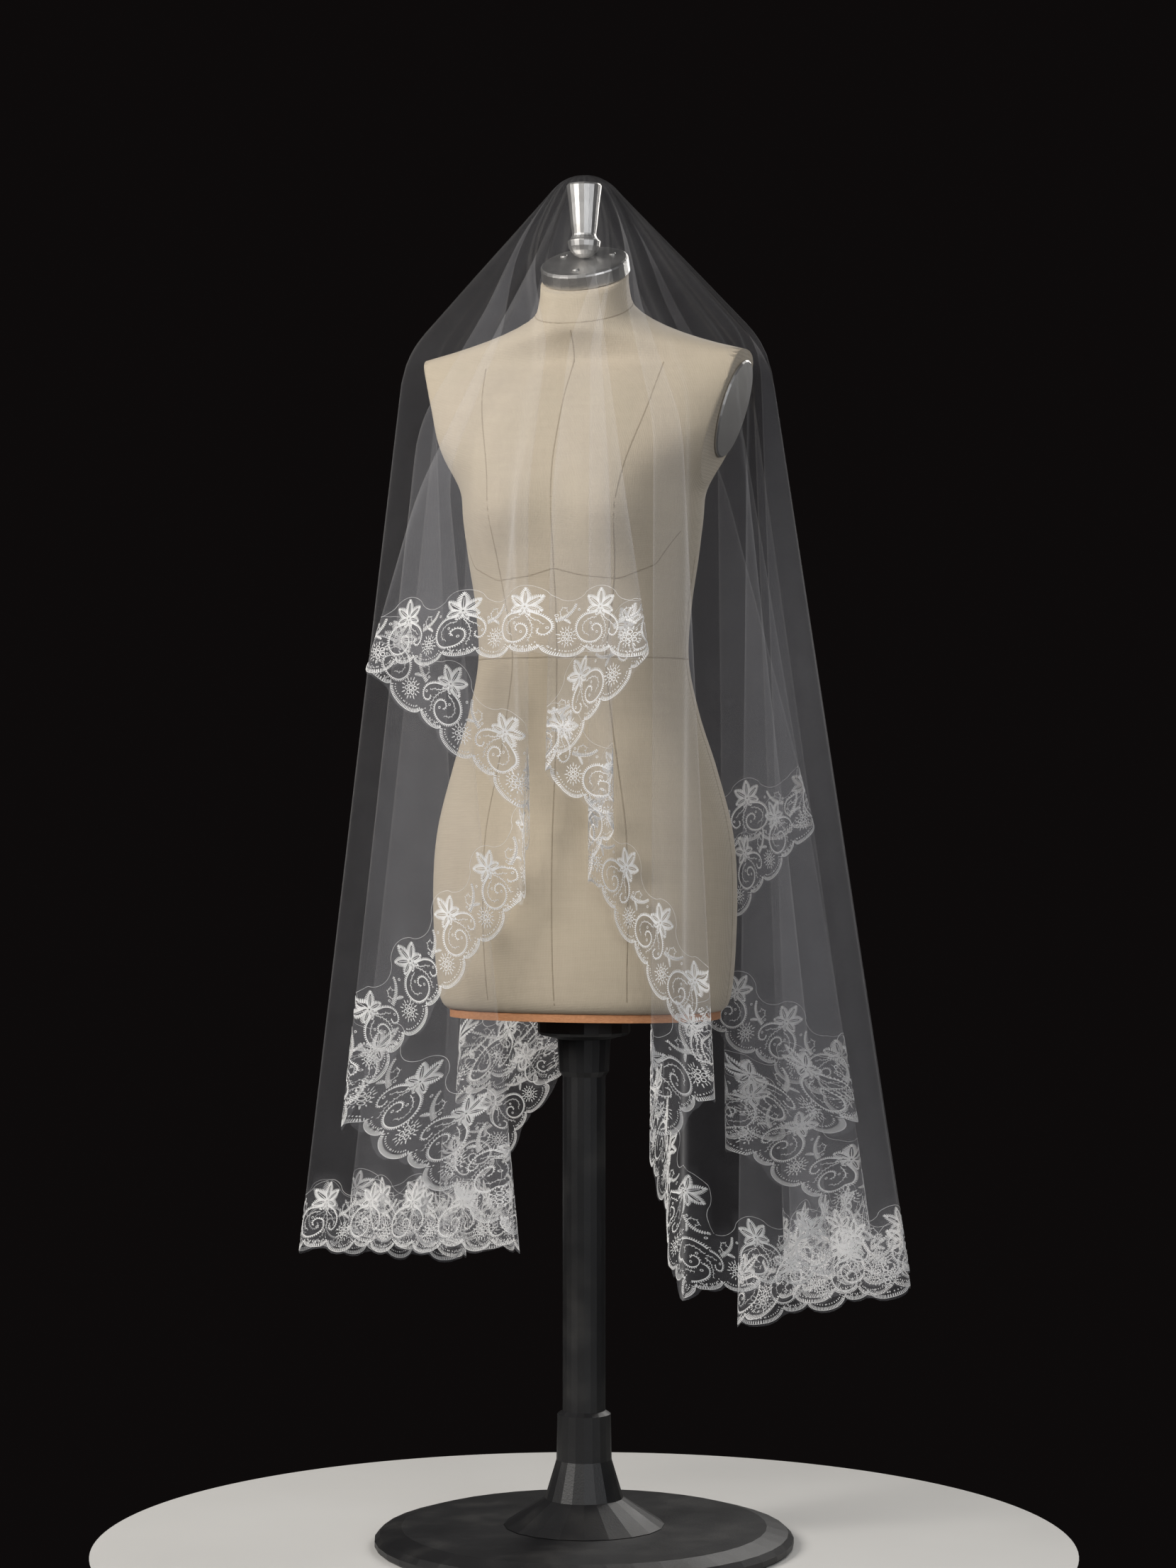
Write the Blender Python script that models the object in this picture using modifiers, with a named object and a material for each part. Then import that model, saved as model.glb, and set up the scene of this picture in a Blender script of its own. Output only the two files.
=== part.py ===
# Bridal veil: one long rectangle of tulle with lace edging on its four sides, laid over the knob of a
# limbless dress form. Metres, +Z up, the form faces -Y, the origin is under the pole on the floor.
import math
from collections import namedtuple

import bmesh
import bpy
import numpy as np
from mathutils import Matrix, Vector

# The cut of the veil: distances from the point that lies on the knob to the four edges.
FRONT_DROP = 0.590
BACK_DROP = 0.780
RIGHT_REACH = 1.270
LEFT_REACH = 1.220
LACE_WIDTH = 0.085
WALL = 0.0010
SEAM = 0.0004
CORNER_SEAM = 0.0012
SEAM_STEP = 0.010
STEEPEST_LEAN = 0.150

# Where the cloth turns over the knob.
CROWN_RADIUS = 0.0225
CROWN_HEIGHT = 1.5345
BEND = 0.035
TURN_AT_REST = 0.0050
TURN_WHEN_PARTED = 0.0024
PARTED_LEVEL = 0.120
SHORT_TURN = 0.25
CONE_HEIGHT = 1.330
CONE_SIDE = 0.200
CONE_FRONT = 0.088
CONE_BACK = 0.096
PARTING = (0.060, 0.220)
FOLDING = (0.110, 0.370)
REST_LEVEL = 0.400

# Dress form.
KNOB_TOP = 1.5245
KNOB_BALL = 1.4600
PLATE_TILT = math.radians(27)
PLATE_RADIUS = 0.0500
PLATE_DEPTH = 0.0180
FORM_SIDES = 36
ARM_PLATE_TILT = math.radians(17)
ARM_PLATE_SIZE = (0.092, 0.112)
ARM_PLATE_DEPTH = 0.004
ARM_CUT_X = 0.167
ARM_CUT_Y = 0.018
ARM_CUT_Z = 1.270
POLE_RADIUS = 0.024
BASE_RADIUS = 0.235
BASE_DEPTH = 0.022
TOUCH = 0.0003
KNOB_BALL_RADIUS = 0.0184
NECK_TOP = KNOB_BALL - (KNOB_BALL_RADIUS + PLATE_DEPTH + 2 * TOUCH) / math.cos(PLATE_TILT)

# A row for each fold, in order round the veil from the front centre to the viewer's right. Along is the
# place on the cut edge. The cloth leaves the form at the rest point and its edge hangs at the hem point.
Fold = namedtuple("Fold", "name edge along rest hem width")
FOLDS = [
    Fold("front_middle", "front", 0.000, (-0.020, -0.176, 1.170), (-0.030, -0.196, 0.985), 0.040),
    Fold("front_right_edge", "front", 0.165, (0.100, -0.168, 1.170), (0.137, -0.198, 0.983), 0.014),
    Fold("front_right_inner", "front", 0.340, (0.014, -0.155, 1.170), (0.010, -0.166, 0.855), 0.012),
    Fold("cascade_right", "front", 0.435, (0.077, -0.147, 1.170), (0.085, -0.162, 0.800), 0.010),
    Fold("cascade_right_inner", "front", 0.525, (0.050, -0.137, 1.170), (0.048, -0.132, 0.742), 0.010),
    Fold("low_right", "front", 0.815, (0.142, -0.092, 1.245), (0.182, -0.102, 0.508), 0.016),
    Fold("low_right_inner", "front", 0.950, (0.116, -0.114, 1.245), (0.122, -0.142, 0.450), 0.014),
    Fold("front_right_corner", "right", 0.590, (0.150, -0.096, 1.285), (0.175, -0.204, 0.308), 0.016),
    Fold("end_right_1", "right", 0.390, (0.184, -0.036, 1.325), (0.308, -0.078, 0.318), 0.018),
    Fold("end_right_2", "right", 0.245, (0.194, -0.010, 1.340), (0.188, -0.035, 0.250), 0.018),
    Fold("end_right_3", "right", 0.030, (0.208, 0.020, 1.338), (0.362, 0.058, 0.287), 0.018),
    Fold("end_right_4", "right", -0.130, (0.194, 0.038, 1.342), (0.218, 0.092, 0.262), 0.018),
    Fold("end_right_5", "right", -0.290, (0.199, 0.064, 1.328), (0.340, 0.150, 0.292), 0.018),
    Fold("end_right_6", "right", -0.460, (0.174, 0.080, 1.322), (0.190, 0.162, 0.282), 0.018),
    Fold("back_right_corner", "right", -0.780, (0.168, 0.098, 1.300), (0.280, 0.216, 0.318), 0.018),
    Fold("back_right_1", "back", 1.040, (0.124, 0.1100, 1.280), (0.112, 0.186, 0.425), 0.018),
    Fold("back_right_2", "back", 0.860, (0.148, 0.124, 1.270), (0.255, 0.258, 0.445), 0.018),
    Fold("back_right_3", "back", 0.560, (0.060, 0.120, 1.250), (0.030, 0.220, 0.590), 0.018),
    Fold("back_right_4", "back", 0.195, (0.120, 0.154, 1.200), (0.195, 0.285, 0.795), 0.018),
    Fold("back_middle", "back", 0.000, (0.000, 0.164, 1.200), (0.000, 0.285, 0.755), 0.060),
    Fold("back_left_4", "back", -0.195, (-0.120, 0.154, 1.200), (-0.195, 0.285, 0.795), 0.018),
    Fold("back_left_3", "back", -0.530, (-0.060, 0.120, 1.250), (-0.036, 0.224, 0.575), 0.018),
    Fold("back_left_2", "back", -0.780, (-0.148, 0.124, 1.270), (-0.246, 0.256, 0.460), 0.018),
    Fold("back_left_1", "back", -0.960, (-0.124, 0.1100, 1.280), (-0.085, 0.186, 0.500), 0.018),
    Fold("back_left_corner", "left", -0.780, (-0.168, 0.098, 1.300), (-0.250, 0.205, 0.302), 0.018),
    Fold("end_left_6", "left", -0.520, (-0.164, 0.080, 1.322), (-0.135, 0.152, 0.300), 0.018),
    Fold("end_left_5", "left", -0.290, (-0.194, 0.062, 1.328), (-0.338, 0.130, 0.312), 0.018),
    Fold("end_left_4", "left", -0.060, (-0.194, 0.038, 1.342), (-0.172, 0.088, 0.296), 0.018),
    Fold("end_left_3", "left", 0.220, (-0.207, -0.022, 1.336), (-0.318, -0.066, 0.320), 0.018),
    Fold("front_left_corner", "left", 0.590, (-0.122, -0.112, 1.195), (-0.030, -0.134, 0.340), 0.014),
    Fold("low_left", "front", -0.930, (-0.157, -0.110, 1.250), (-0.220, -0.182, 0.472), 0.016),
    Fold("cascade_left", "front", -0.580, (-0.036, -0.142, 1.170), (-0.024, -0.146, 0.712), 0.010),
    Fold("front_left_inner", "front", -0.420, (-0.014, -0.153, 1.170), (-0.014, -0.158, 0.815), 0.012),
    Fold("front_left_edge", "front", -0.190, (-0.138, -0.164, 1.170), (-0.190, -0.190, 0.968), 0.014),
]
# Rows of the tulle, as levels on the way down: 0 at the crown, REST_LEVEL at the rest points, 1 at the hem.
TULLE_ROWS = (0.012, 0.034, 0.060, 0.110, 0.160, 0.195, 0.225, 0.255, 0.290, 0.340, 0.400, 0.500, 0.680)
LACE_ROWS = (0.0, 0.5, 1.0)
LEG_STEP = 0.100
MITRE = 0.006

# A ring for each height of the form: half width, depth to the front and to the back, slope to the back.
Ring = namedtuple("Ring", "height half_width front back slope")
TORSO = [
    Ring(0.600, 0.157, 0.098, 0.108, 0.00),
    Ring(0.606, 0.163, 0.104, 0.114, 0.00),
    Ring(0.620, 0.167, 0.108, 0.118, 0.00),
    Ring(0.660, 0.171, 0.113, 0.123, 0.00),
    Ring(0.737, 0.173, 0.115, 0.126, 0.00),
    Ring(0.800, 0.168, 0.112, 0.122, 0.00),
    Ring(0.870, 0.150, 0.103, 0.108, 0.00),
    Ring(0.930, 0.131, 0.099, 0.090, 0.00),
    Ring(0.991, 0.119, 0.097, 0.080, 0.00),
    Ring(1.050, 0.122, 0.101, 0.085, 0.00),
    Ring(1.100, 0.129, 0.112, 0.093, 0.00),
    Ring(1.155, 0.137, 0.126, 0.101, 0.00),
    Ring(1.200, 0.151, 0.116, 0.109, 0.00),
    Ring(1.240, 0.177, 0.096, 0.112, 0.00),
    Ring(1.280, 0.191, 0.072, 0.106, 0.00),
    Ring(1.305, 0.208, 0.051, 0.092, 0.00),
    Ring(1.322, 0.222, 0.037, 0.078, 0.02),
    Ring(1.331, 0.196, 0.036, 0.071, 0.06),
    Ring(1.341, 0.155, 0.038, 0.066, 0.12),
    Ring(1.353, 0.114, 0.042, 0.062, 0.20),
    Ring(1.366, 0.080, 0.047, 0.056, 0.30),
    Ring(1.380, 0.057, 0.050, 0.052, 0.40),
    Ring(1.400, 0.050, 0.045, 0.051, 0.48),
    Ring(NECK_TOP, 0.0485, 0.0430, 0.0525, math.tan(PLATE_TILT)),
]
BUST_SPREAD = 0.072
BUST_RISE = 0.018


def clear_scene():
    for item in list(bpy.data.objects):
        bpy.data.objects.remove(item, do_unlink=True)


def new_collection(name):
    collection = bpy.data.collections.new(name)
    bpy.context.scene.collection.children.link(collection)
    return collection


def new_material(name, color, roughness, metallic=0.0):
    material = bpy.data.materials.new(name)
    material.use_nodes = True
    shader = material.node_tree.nodes["Principled BSDF"]
    shader.inputs["Base Color"].default_value = (*color, 1.0)
    shader.inputs["Roughness"].default_value = roughness
    shader.inputs["Metallic"].default_value = metallic
    return material


def add_mesh(name, points, faces, material, collection, sharp=35):
    mesh = bpy.data.meshes.new(name)
    mesh.from_pydata([tuple(p) for p in points], [], faces)
    mesh.validate()
    item = bpy.data.objects.new(name, mesh)
    collection.objects.link(item)
    mesh.materials.append(material)
    mesh.shade_smooth()
    mesh.set_sharp_from_angle(angle=math.radians(sharp))
    return item


def between(a, b, share):
    return a + (b - a) * share


def curve_point(start, control, end, share):
    """A point of the arc that leaves start towards control and comes to end from it."""
    return between(between(start, control, share), between(control, end, share), share)


def flat_place(fold):
    """The fold's end on the cut rectangle, across and towards the front."""
    return {
        "front": np.array((fold.along, FRONT_DROP)),
        "back": np.array((fold.along, -BACK_DROP)),
        "right": np.array((RIGHT_REACH, fold.along)),
        "left": np.array((-LEFT_REACH, fold.along)),
    }[fold.edge]


def crown_line(out, end):
    """The line over the knob's rim and straight on to an end point."""
    crown = np.array((0.0, 0.0, CROWN_HEIGHT))
    rim = crown + out * CROWN_RADIUS
    down = (end - rim) / np.linalg.norm(end - rim)
    points = [curve_point(crown, rim, rim + down * CROWN_RADIUS, i / 8) for i in range(9)]
    return points, down


def measured(points):
    """The points as one array with their distances along the line from its start."""
    points = np.array(points)
    steps = np.linalg.norm(np.diff(points, axis=0), axis=1)
    return points, np.concatenate(([0.0], np.cumsum(steps)))


def at_distance(line, distance):
    points, distances = line
    return np.array([np.interp(distance, distances, points[:, axis]) for axis in range(3)])


def fold_path(fold):
    """The line from the crown over the rest point to the hem, the cone under the crown, the way to the rest."""
    across, ahead = flat_place(fold)
    turn = math.hypot(across, ahead)
    out = np.array((across / turn, -ahead / turn, 0.0))
    rest, hem = np.array(fold.rest), np.array(fold.hem)
    points, down = crown_line(out, rest)
    below = (hem - rest) / np.linalg.norm(hem - rest)
    points += [curve_point(rest - down * BEND, rest, rest + below * BEND, i / 6) for i in range(7)]
    points.append(hem)
    depth = CONE_FRONT if ahead > 0 else CONE_BACK
    ring = np.array((CONE_SIDE * out[0], depth * out[1], CONE_HEIGHT))
    cone, _ = crown_line(out, ring)
    line = measured(points)
    return line, measured(cone + [ring]), line[1][-5]


PATHS = [fold_path(fold) for fold in FOLDS]
PLACES = [flat_place(fold) for fold in FOLDS]


def smooth_step(value, start, end):
    share = min(1.0, max(0.0, (value - start) / (end - start)))
    return share * share * (3 - 2 * share)


def fold_point(index, level):
    """A point of a fold line: on the cone near the crown, then parted in depth, then folded sideways."""
    line, cone, rest = PATHS[index % len(FOLDS)]
    distance = np.interp(level, (0.0, REST_LEVEL, 1.0), (0.0, rest, line[1][-1]))
    parted, folded = smooth_step(level, *PARTING), smooth_step(level, *FOLDING)
    return between(at_distance(cone, distance), at_distance(line, distance), np.array((folded, parted, parted)))


def direction(vector):
    """The vector's level direction, at length one."""
    flat = np.array((vector[0], vector[1], 0.0))
    return flat / max(np.linalg.norm(flat), 1e-9)


def turn_width(index, level):
    """How wide the fold's round turn is: narrow where layers lie on the form and full at the hem."""
    width = FOLDS[index % len(FOLDS)].width
    return np.interp(level, (0.0, PARTED_LEVEL, REST_LEVEL, 1.0), (0.0, TURN_WHEN_PARTED, TURN_AT_REST, width))


def turn_corners(index, level):
    """The two corners that a fold's round turn is drawn between, side by side across its tip."""
    before, here, after = (fold_point(index + step, level) for step in (-1, 0, 1))
    across = direction(direction(after - here) - direction(before - here))
    shorter = min(np.linalg.norm(here - before), np.linalg.norm(after - here))
    half = across * min(turn_width(index, level) * 0.5, shorter * SHORT_TURN)
    return here - half, here, here + half


def turn_share(index):
    """The share of a leg that its round turn takes up at each end."""
    leg = np.linalg.norm(fold_point(index + 1, 1.0) - fold_point(index, 1.0))
    return tuple(min(0.34, 1.6 * FOLDS[i % len(FOLDS)].width / leg) for i in (index, index + 1))


def cloth_point(column, level):
    """A point of the cloth: the column counts folds and the level runs from the crown to the hem."""
    index = int(math.floor(column))
    part = column - index
    _, start, leave = turn_corners(index, level)
    arrive, end, _ = turn_corners(index + 1, level)
    first, last = turn_share(index)
    run = arrive - leave
    if part < first:
        return curve_point(start, leave, leave + run * first, part / first)
    if part > 1.0 - last:
        return curve_point(arrive - run * last, arrive, end, (part - 1.0 + last) / last)
    low, high = leave + run * first, arrive - run * last
    return between(low, high, (part - first) / (1.0 - first - last))


def cut_place(column):
    """Where a column meets the cut edge of the rectangle."""
    index = int(math.floor(column)) % len(FOLDS)
    return between(PLACES[index], PLACES[(index + 1) % len(FOLDS)], column - math.floor(column))


def lace_level(column, width):
    """The level at which an edging of this width starts, counted from the cut edge."""
    across, ahead = cut_place(column)
    side = RIGHT_REACH if across > 0 else LEFT_REACH
    drop = FRONT_DROP if ahead > 0 else BACK_DROP
    share = min((side - width) / max(abs(across), 1e-6), (drop - width) / max(abs(ahead), 1e-6))
    levels = []
    for index in (int(math.floor(column)), int(math.floor(column)) + 1):
        line, _, rest = PATHS[index % len(FOLDS)]
        whole = line[1][-1]
        levels.append(np.interp(share * whole, (0.0, rest, whole), (0.0, REST_LEVEL, 1.0)))
    return between(*levels, column - math.floor(column))


def seam_level(column, gap):
    """The level at which the tulle ends, so that its edge is this gap short of the edging's."""
    left, right = column - SEAM_STEP, column + SEAM_STEP
    start = lace_level(column, LACE_WIDTH)
    along = cloth_point(right, lace_level(right, LACE_WIDTH)) - cloth_point(left, lace_level(left, LACE_WIDTH))
    down = (cloth_point(column, start) - cloth_point(column, start - SEAM_STEP)) / SEAM_STEP
    drop = np.linalg.norm(down)
    lean = np.linalg.norm(np.cross(along, down)) / (np.linalg.norm(along) * drop)
    return start - gap / (max(lean, STEEPEST_LEAN) * drop)


def columns_of(first_fold, last_fold):
    """Column numbers between two folds: close together in the turns, wider apart along the legs."""
    columns = []
    for index in range(first_fold, last_fold):
        first, last = turn_share(index)
        leg = np.linalg.norm(fold_point(index + 1, 1.0) - fold_point(index, 1.0))
        middle = max(0, round(leg * (1.0 - first - last) / LEG_STEP) - 1)
        parts = [0.0, first * 0.5, first]
        parts += [between(first, 1.0 - last, (i + 1) / (middle + 1)) for i in range(middle)]
        parts += [1.0 - last, 1.0 - last * 0.5]
        columns += [index + part for part in parts]
    return columns


def grid_normals(grid, closed):
    """Outward directions at the points of a grid whose rows run down and columns run round."""
    if closed:
        around = np.roll(grid, -1, axis=1) - np.roll(grid, 1, axis=1)
    else:
        around = np.gradient(grid, axis=1)
    down = np.gradient(grid, axis=0)
    normals = np.cross(down, around)
    return normals / np.linalg.norm(normals, axis=2, keepdims=True)


def wall_from_grid(name, grid, normals, closed, crown, material, collection):
    """A closed wall of the cloth's thickness on a grid of points, with a crown point over a closed one.

    Both sides are split into the same triangles, so the wall is as thick where a face is twisted."""
    rows, count, _ = grid.shape
    outer = (grid + normals * WALL * 0.5).reshape(-1, 3)
    inner = (grid - normals * WALL * 0.5).reshape(-1, 3)
    points = list(outer) + list(inner)
    shift = rows * count
    faces = []
    spans = count if closed else count - 1

    def at(row, column):
        return row * count + column % count

    for row in range(rows - 1):
        for column in range(spans):
            a, b, c, d = at(row, column), at(row + 1, column), at(row + 1, column + 1), at(row, column + 1)
            for triangle in ((a, b, c), (a, c, d)):
                faces.append(triangle)
                faces.append(tuple(shift + v for v in reversed(triangle)))
    last = rows - 1
    for column in range(spans):
        a, b = at(last, column), at(last, column + 1)
        faces.append((a, shift + a, shift + b, b))
        if crown is None:
            c, d = at(0, column), at(0, column + 1)
            faces.append((d, shift + d, shift + c, c))
    if not closed:
        for row in range(last):
            a, b = at(row, 0), at(row + 1, 0)
            faces.append((a, shift + a, shift + b, b))
            c, d = at(row, count - 1), at(row + 1, count - 1)
            faces.append((d, shift + d, shift + c, c))
    if crown is not None:
        top, under = len(points), len(points) + 1
        points += [crown + np.array((0, 0, WALL * 0.5)), crown - np.array((0, 0, WALL * 0.5))]
        for column in range(spans):
            a, b = at(0, column), at(0, column + 1)
            faces.append((top, a, b))
            faces.append((under, shift + b, shift + a))
    return add_mesh(name, points, faces, material, collection, 60)


def make_veil(collection, tulle, lace):
    count = len(FOLDS)
    columns = columns_of(0, count)
    rows = [[cloth_point(c, level) for c in columns] for level in TULLE_ROWS]
    corners = [i for i, fold in enumerate(FOLDS) if fold.name.endswith("corner")]
    ends = [seam_level(c, CORNER_SEAM if c in corners else SEAM) for c in columns]
    for step in (0.5, 1.0):
        rows.append([cloth_point(c, between(TULLE_ROWS[-1], end, step)) for c, end in zip(columns, ends)])
    grid = np.array(rows)
    crown = np.array((0.0, 0.0, CROWN_HEIGHT))
    wall_from_grid("tulle", grid, grid_normals(grid, True), True, crown, tulle, collection)
    names = ("lace_right", "lace_back", "lace_left", "lace_front")
    for side, name in enumerate(names):
        first = corners[side]
        last = corners[side + 1] if side < 3 else corners[0] + count
        run = [first + MITRE] + columns_of(first, last)[1:] + [last - MITRE]
        wide = [first - MITRE] + run + [last + MITRE]
        lace_grid = np.array([[cloth_point(c, between(lace_level(c, LACE_WIDTH), 1.0, step)) for c in wide]
                              for step in LACE_ROWS])
        normals = grid_normals(lace_grid, False)[:, 1:-1]
        wall_from_grid(name, lace_grid[:, 1:-1], normals, False, None, lace, collection)


def torso_ring(ring):
    points = []
    for i in range(FORM_SIDES):
        turn = 2 * math.pi * i / FORM_SIDES
        side, ahead = math.sin(turn), -math.cos(turn)
        depth = ring.front if ahead < 0 else ring.back
        full = 0.90
        x = ring.half_width * math.copysign(abs(side) ** full, side)
        y = depth * math.copysign(abs(ahead) ** full, ahead)
        near_bust = math.exp(-((ring.height - 1.150) / 0.045) ** 2)
        lobe = math.exp(-((abs(x) - BUST_SPREAD) / 0.040) ** 2)
        y -= BUST_RISE * near_bust * (lobe - 0.45) * max(0.0, -ahead)
        points.append((x, y, ring.height + ring.slope * y))
    return points


def make_torso(collection, guides, linen):
    points = [p for ring in TORSO for p in torso_ring(ring)]
    faces = []
    for row in range(len(TORSO) - 1):
        for i in range(FORM_SIDES):
            a, b = row * FORM_SIDES + i, row * FORM_SIDES + (i + 1) % FORM_SIDES
            faces.append((a, b, b + FORM_SIDES, a + FORM_SIDES))
    faces.append(tuple(reversed(range(FORM_SIDES))))
    faces.append(tuple(range(len(points) - FORM_SIDES, len(points))))
    torso = add_mesh("form_torso", points, faces, linen, collection, 50)
    for side in (1, -1):
        cutter_mesh = bpy.data.meshes.new("arm_cut")
        bm = bmesh.new()
        bmesh.ops.create_cube(bm, size=1.0)
        bmesh.ops.scale(bm, vec=(0.10, 0.30, 0.185), verts=bm.verts)
        bmesh.ops.translate(bm, vec=(0.05, 0.0, 0.0), verts=bm.verts)
        bmesh.ops.rotate(bm, matrix=Matrix.Rotation(ARM_PLATE_TILT, 3, "Y"), verts=bm.verts)
        bmesh.ops.translate(bm, vec=(ARM_CUT_X, ARM_CUT_Y, ARM_CUT_Z), verts=bm.verts)
        if side < 0:
            bmesh.ops.scale(bm, vec=(-1, 1, 1), verts=bm.verts)
            bmesh.ops.reverse_faces(bm, faces=bm.faces)
        bm.to_mesh(cutter_mesh)
        bm.free()
        cutter = bpy.data.objects.new("arm_cut", cutter_mesh)
        guides.objects.link(cutter)
        cutter.hide_render = True
        cutter.display_type = "WIRE"
        cut = torso.modifiers.new("armhole", "BOOLEAN")
        cut.operation = "DIFFERENCE"
        cut.solver = "EXACT"
        cut.object = cutter
    return torso


def turned(name, profile, steps, material, collection):
    """A solid of revolution about Z: the profile runs from the axis at the top to the axis at the bottom."""
    mesh = bpy.data.meshes.new(name)
    mesh.from_pydata([(r, 0.0, z) for r, z in profile], [(i, i + 1) for i in range(len(profile) - 1)], [])
    item = bpy.data.objects.new(name, mesh)
    collection.objects.link(item)
    mesh.materials.append(material)
    screw = item.modifiers.new("turn", "SCREW")
    screw.axis = "Z"
    screw.steps = steps
    screw.render_steps = steps
    screw.use_merge_vertices = True
    screw.merge_threshold = 0.0001
    return item


def arc(radius, centre_z, start, end, count):
    """Profile points on a circle about the axis, from one angle above the level to another."""
    angles = [between(start, end, i / (count - 1)) for i in range(count)]
    return [(radius * math.cos(a), centre_z + radius * math.sin(a)) for a in angles]


def make_knob(collection, metal):
    profile = [(0.0, KNOB_TOP + 0.002), (0.010, KNOB_TOP + 0.0016), (0.0186, KNOB_TOP), (0.0197, KNOB_TOP - 0.002),
               (0.0172, KNOB_TOP - 0.022), (0.0147, KNOB_TOP - 0.046), (0.0134, KNOB_TOP - 0.056),
               (0.0138, KNOB_TOP - 0.058), (0.0156, KNOB_BALL + 0.003), (0.0180, KNOB_BALL + 0.0012)]
    profile += arc(KNOB_BALL_RADIUS, KNOB_BALL, 0.0, -math.pi / 2, 6)[:-1]
    profile.append((0.0, KNOB_BALL - KNOB_BALL_RADIUS))
    return turned("neck_knob", profile, 20, metal, collection)


def plate_frame():
    """The tilted frame of the neck plate, with its origin on top of the plate."""
    drop = (KNOB_BALL_RADIUS + TOUCH) / math.cos(PLATE_TILT)
    return Matrix.Translation((0, 0, KNOB_BALL - drop)) @ Matrix.Rotation(PLATE_TILT, 4, "X")


def make_neck_plate(collection, metal):
    edge = 0.0022
    profile = [(0.0, 0.0), (PLATE_RADIUS - 0.006, 0.0), (PLATE_RADIUS - edge, -0.0004),
               (PLATE_RADIUS - 0.0006, -0.0016), (PLATE_RADIUS, -0.0036), (PLATE_RADIUS, -PLATE_DEPTH + 0.001),
               (PLATE_RADIUS - 0.001, -PLATE_DEPTH), (0.0, -PLATE_DEPTH)]
    plate = turned("neck_plate", profile, 30, metal, collection)
    plate.matrix_world = plate_frame()
    for number, turn in enumerate((-90, 30, 150)):
        screw = turned(f"plate_screw_{number + 1}", [(0.0, 0.0020), (0.0032, 0.0018), (0.0042, 0.0008),
                       (0.0042, 0.0), (0.0, 0.0)], 10, metal, collection)
        place = Vector((0.033 * math.cos(math.radians(turn)), 0.033 * math.sin(math.radians(turn)), TOUCH))
        screw.matrix_world = plate_frame() @ Matrix.Translation(place)


def make_arm_plates(collection, metal):
    for side, name in ((1, "arm_plate_left"), (-1, "arm_plate_right")):
        mesh = bpy.data.meshes.new(name)
        bm = bmesh.new()
        bmesh.ops.create_cone(bm, cap_ends=True, segments=28, radius1=0.5, radius2=0.5, depth=ARM_PLATE_DEPTH)
        bmesh.ops.scale(bm, vec=(ARM_PLATE_SIZE[1], ARM_PLATE_SIZE[0], 1.0), verts=bm.verts)
        bmesh.ops.translate(bm, vec=(0, 0, ARM_PLATE_DEPTH * 0.5 + TOUCH), verts=bm.verts)
        bmesh.ops.rotate(bm, matrix=Matrix.Rotation(math.pi / 2 + ARM_PLATE_TILT, 3, "Y"), verts=bm.verts)
        bmesh.ops.translate(bm, vec=(ARM_CUT_X, ARM_CUT_Y, ARM_CUT_Z), verts=bm.verts)
        if side < 0:
            bmesh.ops.scale(bm, vec=(-1, 1, 1), verts=bm.verts)
            bmesh.ops.reverse_faces(bm, faces=bm.faces)
        bm.to_mesh(mesh)
        bm.free()
        plate = bpy.data.objects.new(name, mesh)
        collection.objects.link(plate)
        mesh.materials.append(metal)
        soften = plate.modifiers.new("soften", "BEVEL")
        soften.width = 0.0016
        soften.segments = 1


def make_bottom_board(collection, wood):
    top, depth = TORSO[0].height - TOUCH, 0.009
    ring = TORSO[0]._replace(half_width=TORSO[0].half_width - 0.002, front=TORSO[0].front - 0.001)
    upper = [(x, y, top) for x, y, _ in torso_ring(ring)]
    lower = [(x, y, top - depth) for x, y, _ in upper]
    faces = [tuple(range(FORM_SIDES)), tuple(reversed(range(FORM_SIDES, 2 * FORM_SIDES)))]
    for i in range(FORM_SIDES):
        a, b = i, (i + 1) % FORM_SIDES
        faces.append((b, a, a + FORM_SIDES, b + FORM_SIDES))
    add_mesh("bottom_board", upper + lower, faces, wood, collection, 40)
    return top - depth


def make_stand(collection, black, board_under):
    top = board_under - TOUCH
    foot = BASE_DEPTH + TOUCH
    pole = [(0.0, top), (0.050, top), (0.052, top - 0.003), (0.052, top - 0.016), (0.050, top - 0.019),
            (POLE_RADIUS + 0.006, top - 0.024), (POLE_RADIUS + 0.004, top - 0.060), (POLE_RADIUS, top - 0.066),
            (POLE_RADIUS, 0.150), (POLE_RADIUS + 0.006, 0.146), (POLE_RADIUS + 0.007, 0.095),
            (POLE_RADIUS + 0.020, 0.052), (0.078, 0.030), (0.090, foot), (0.0, foot)]
    turned("pole", pole, 20, black, collection)
    base = [(0.0, BASE_DEPTH), (BASE_RADIUS - 0.030, BASE_DEPTH - 0.001), (BASE_RADIUS - 0.006, BASE_DEPTH - 0.008),
            (BASE_RADIUS, BASE_DEPTH - 0.014), (BASE_RADIUS, 0.002), (BASE_RADIUS - 0.002, 0.0), (0.0, 0.0)]
    turned("base", base, 44, black, collection)


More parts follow.
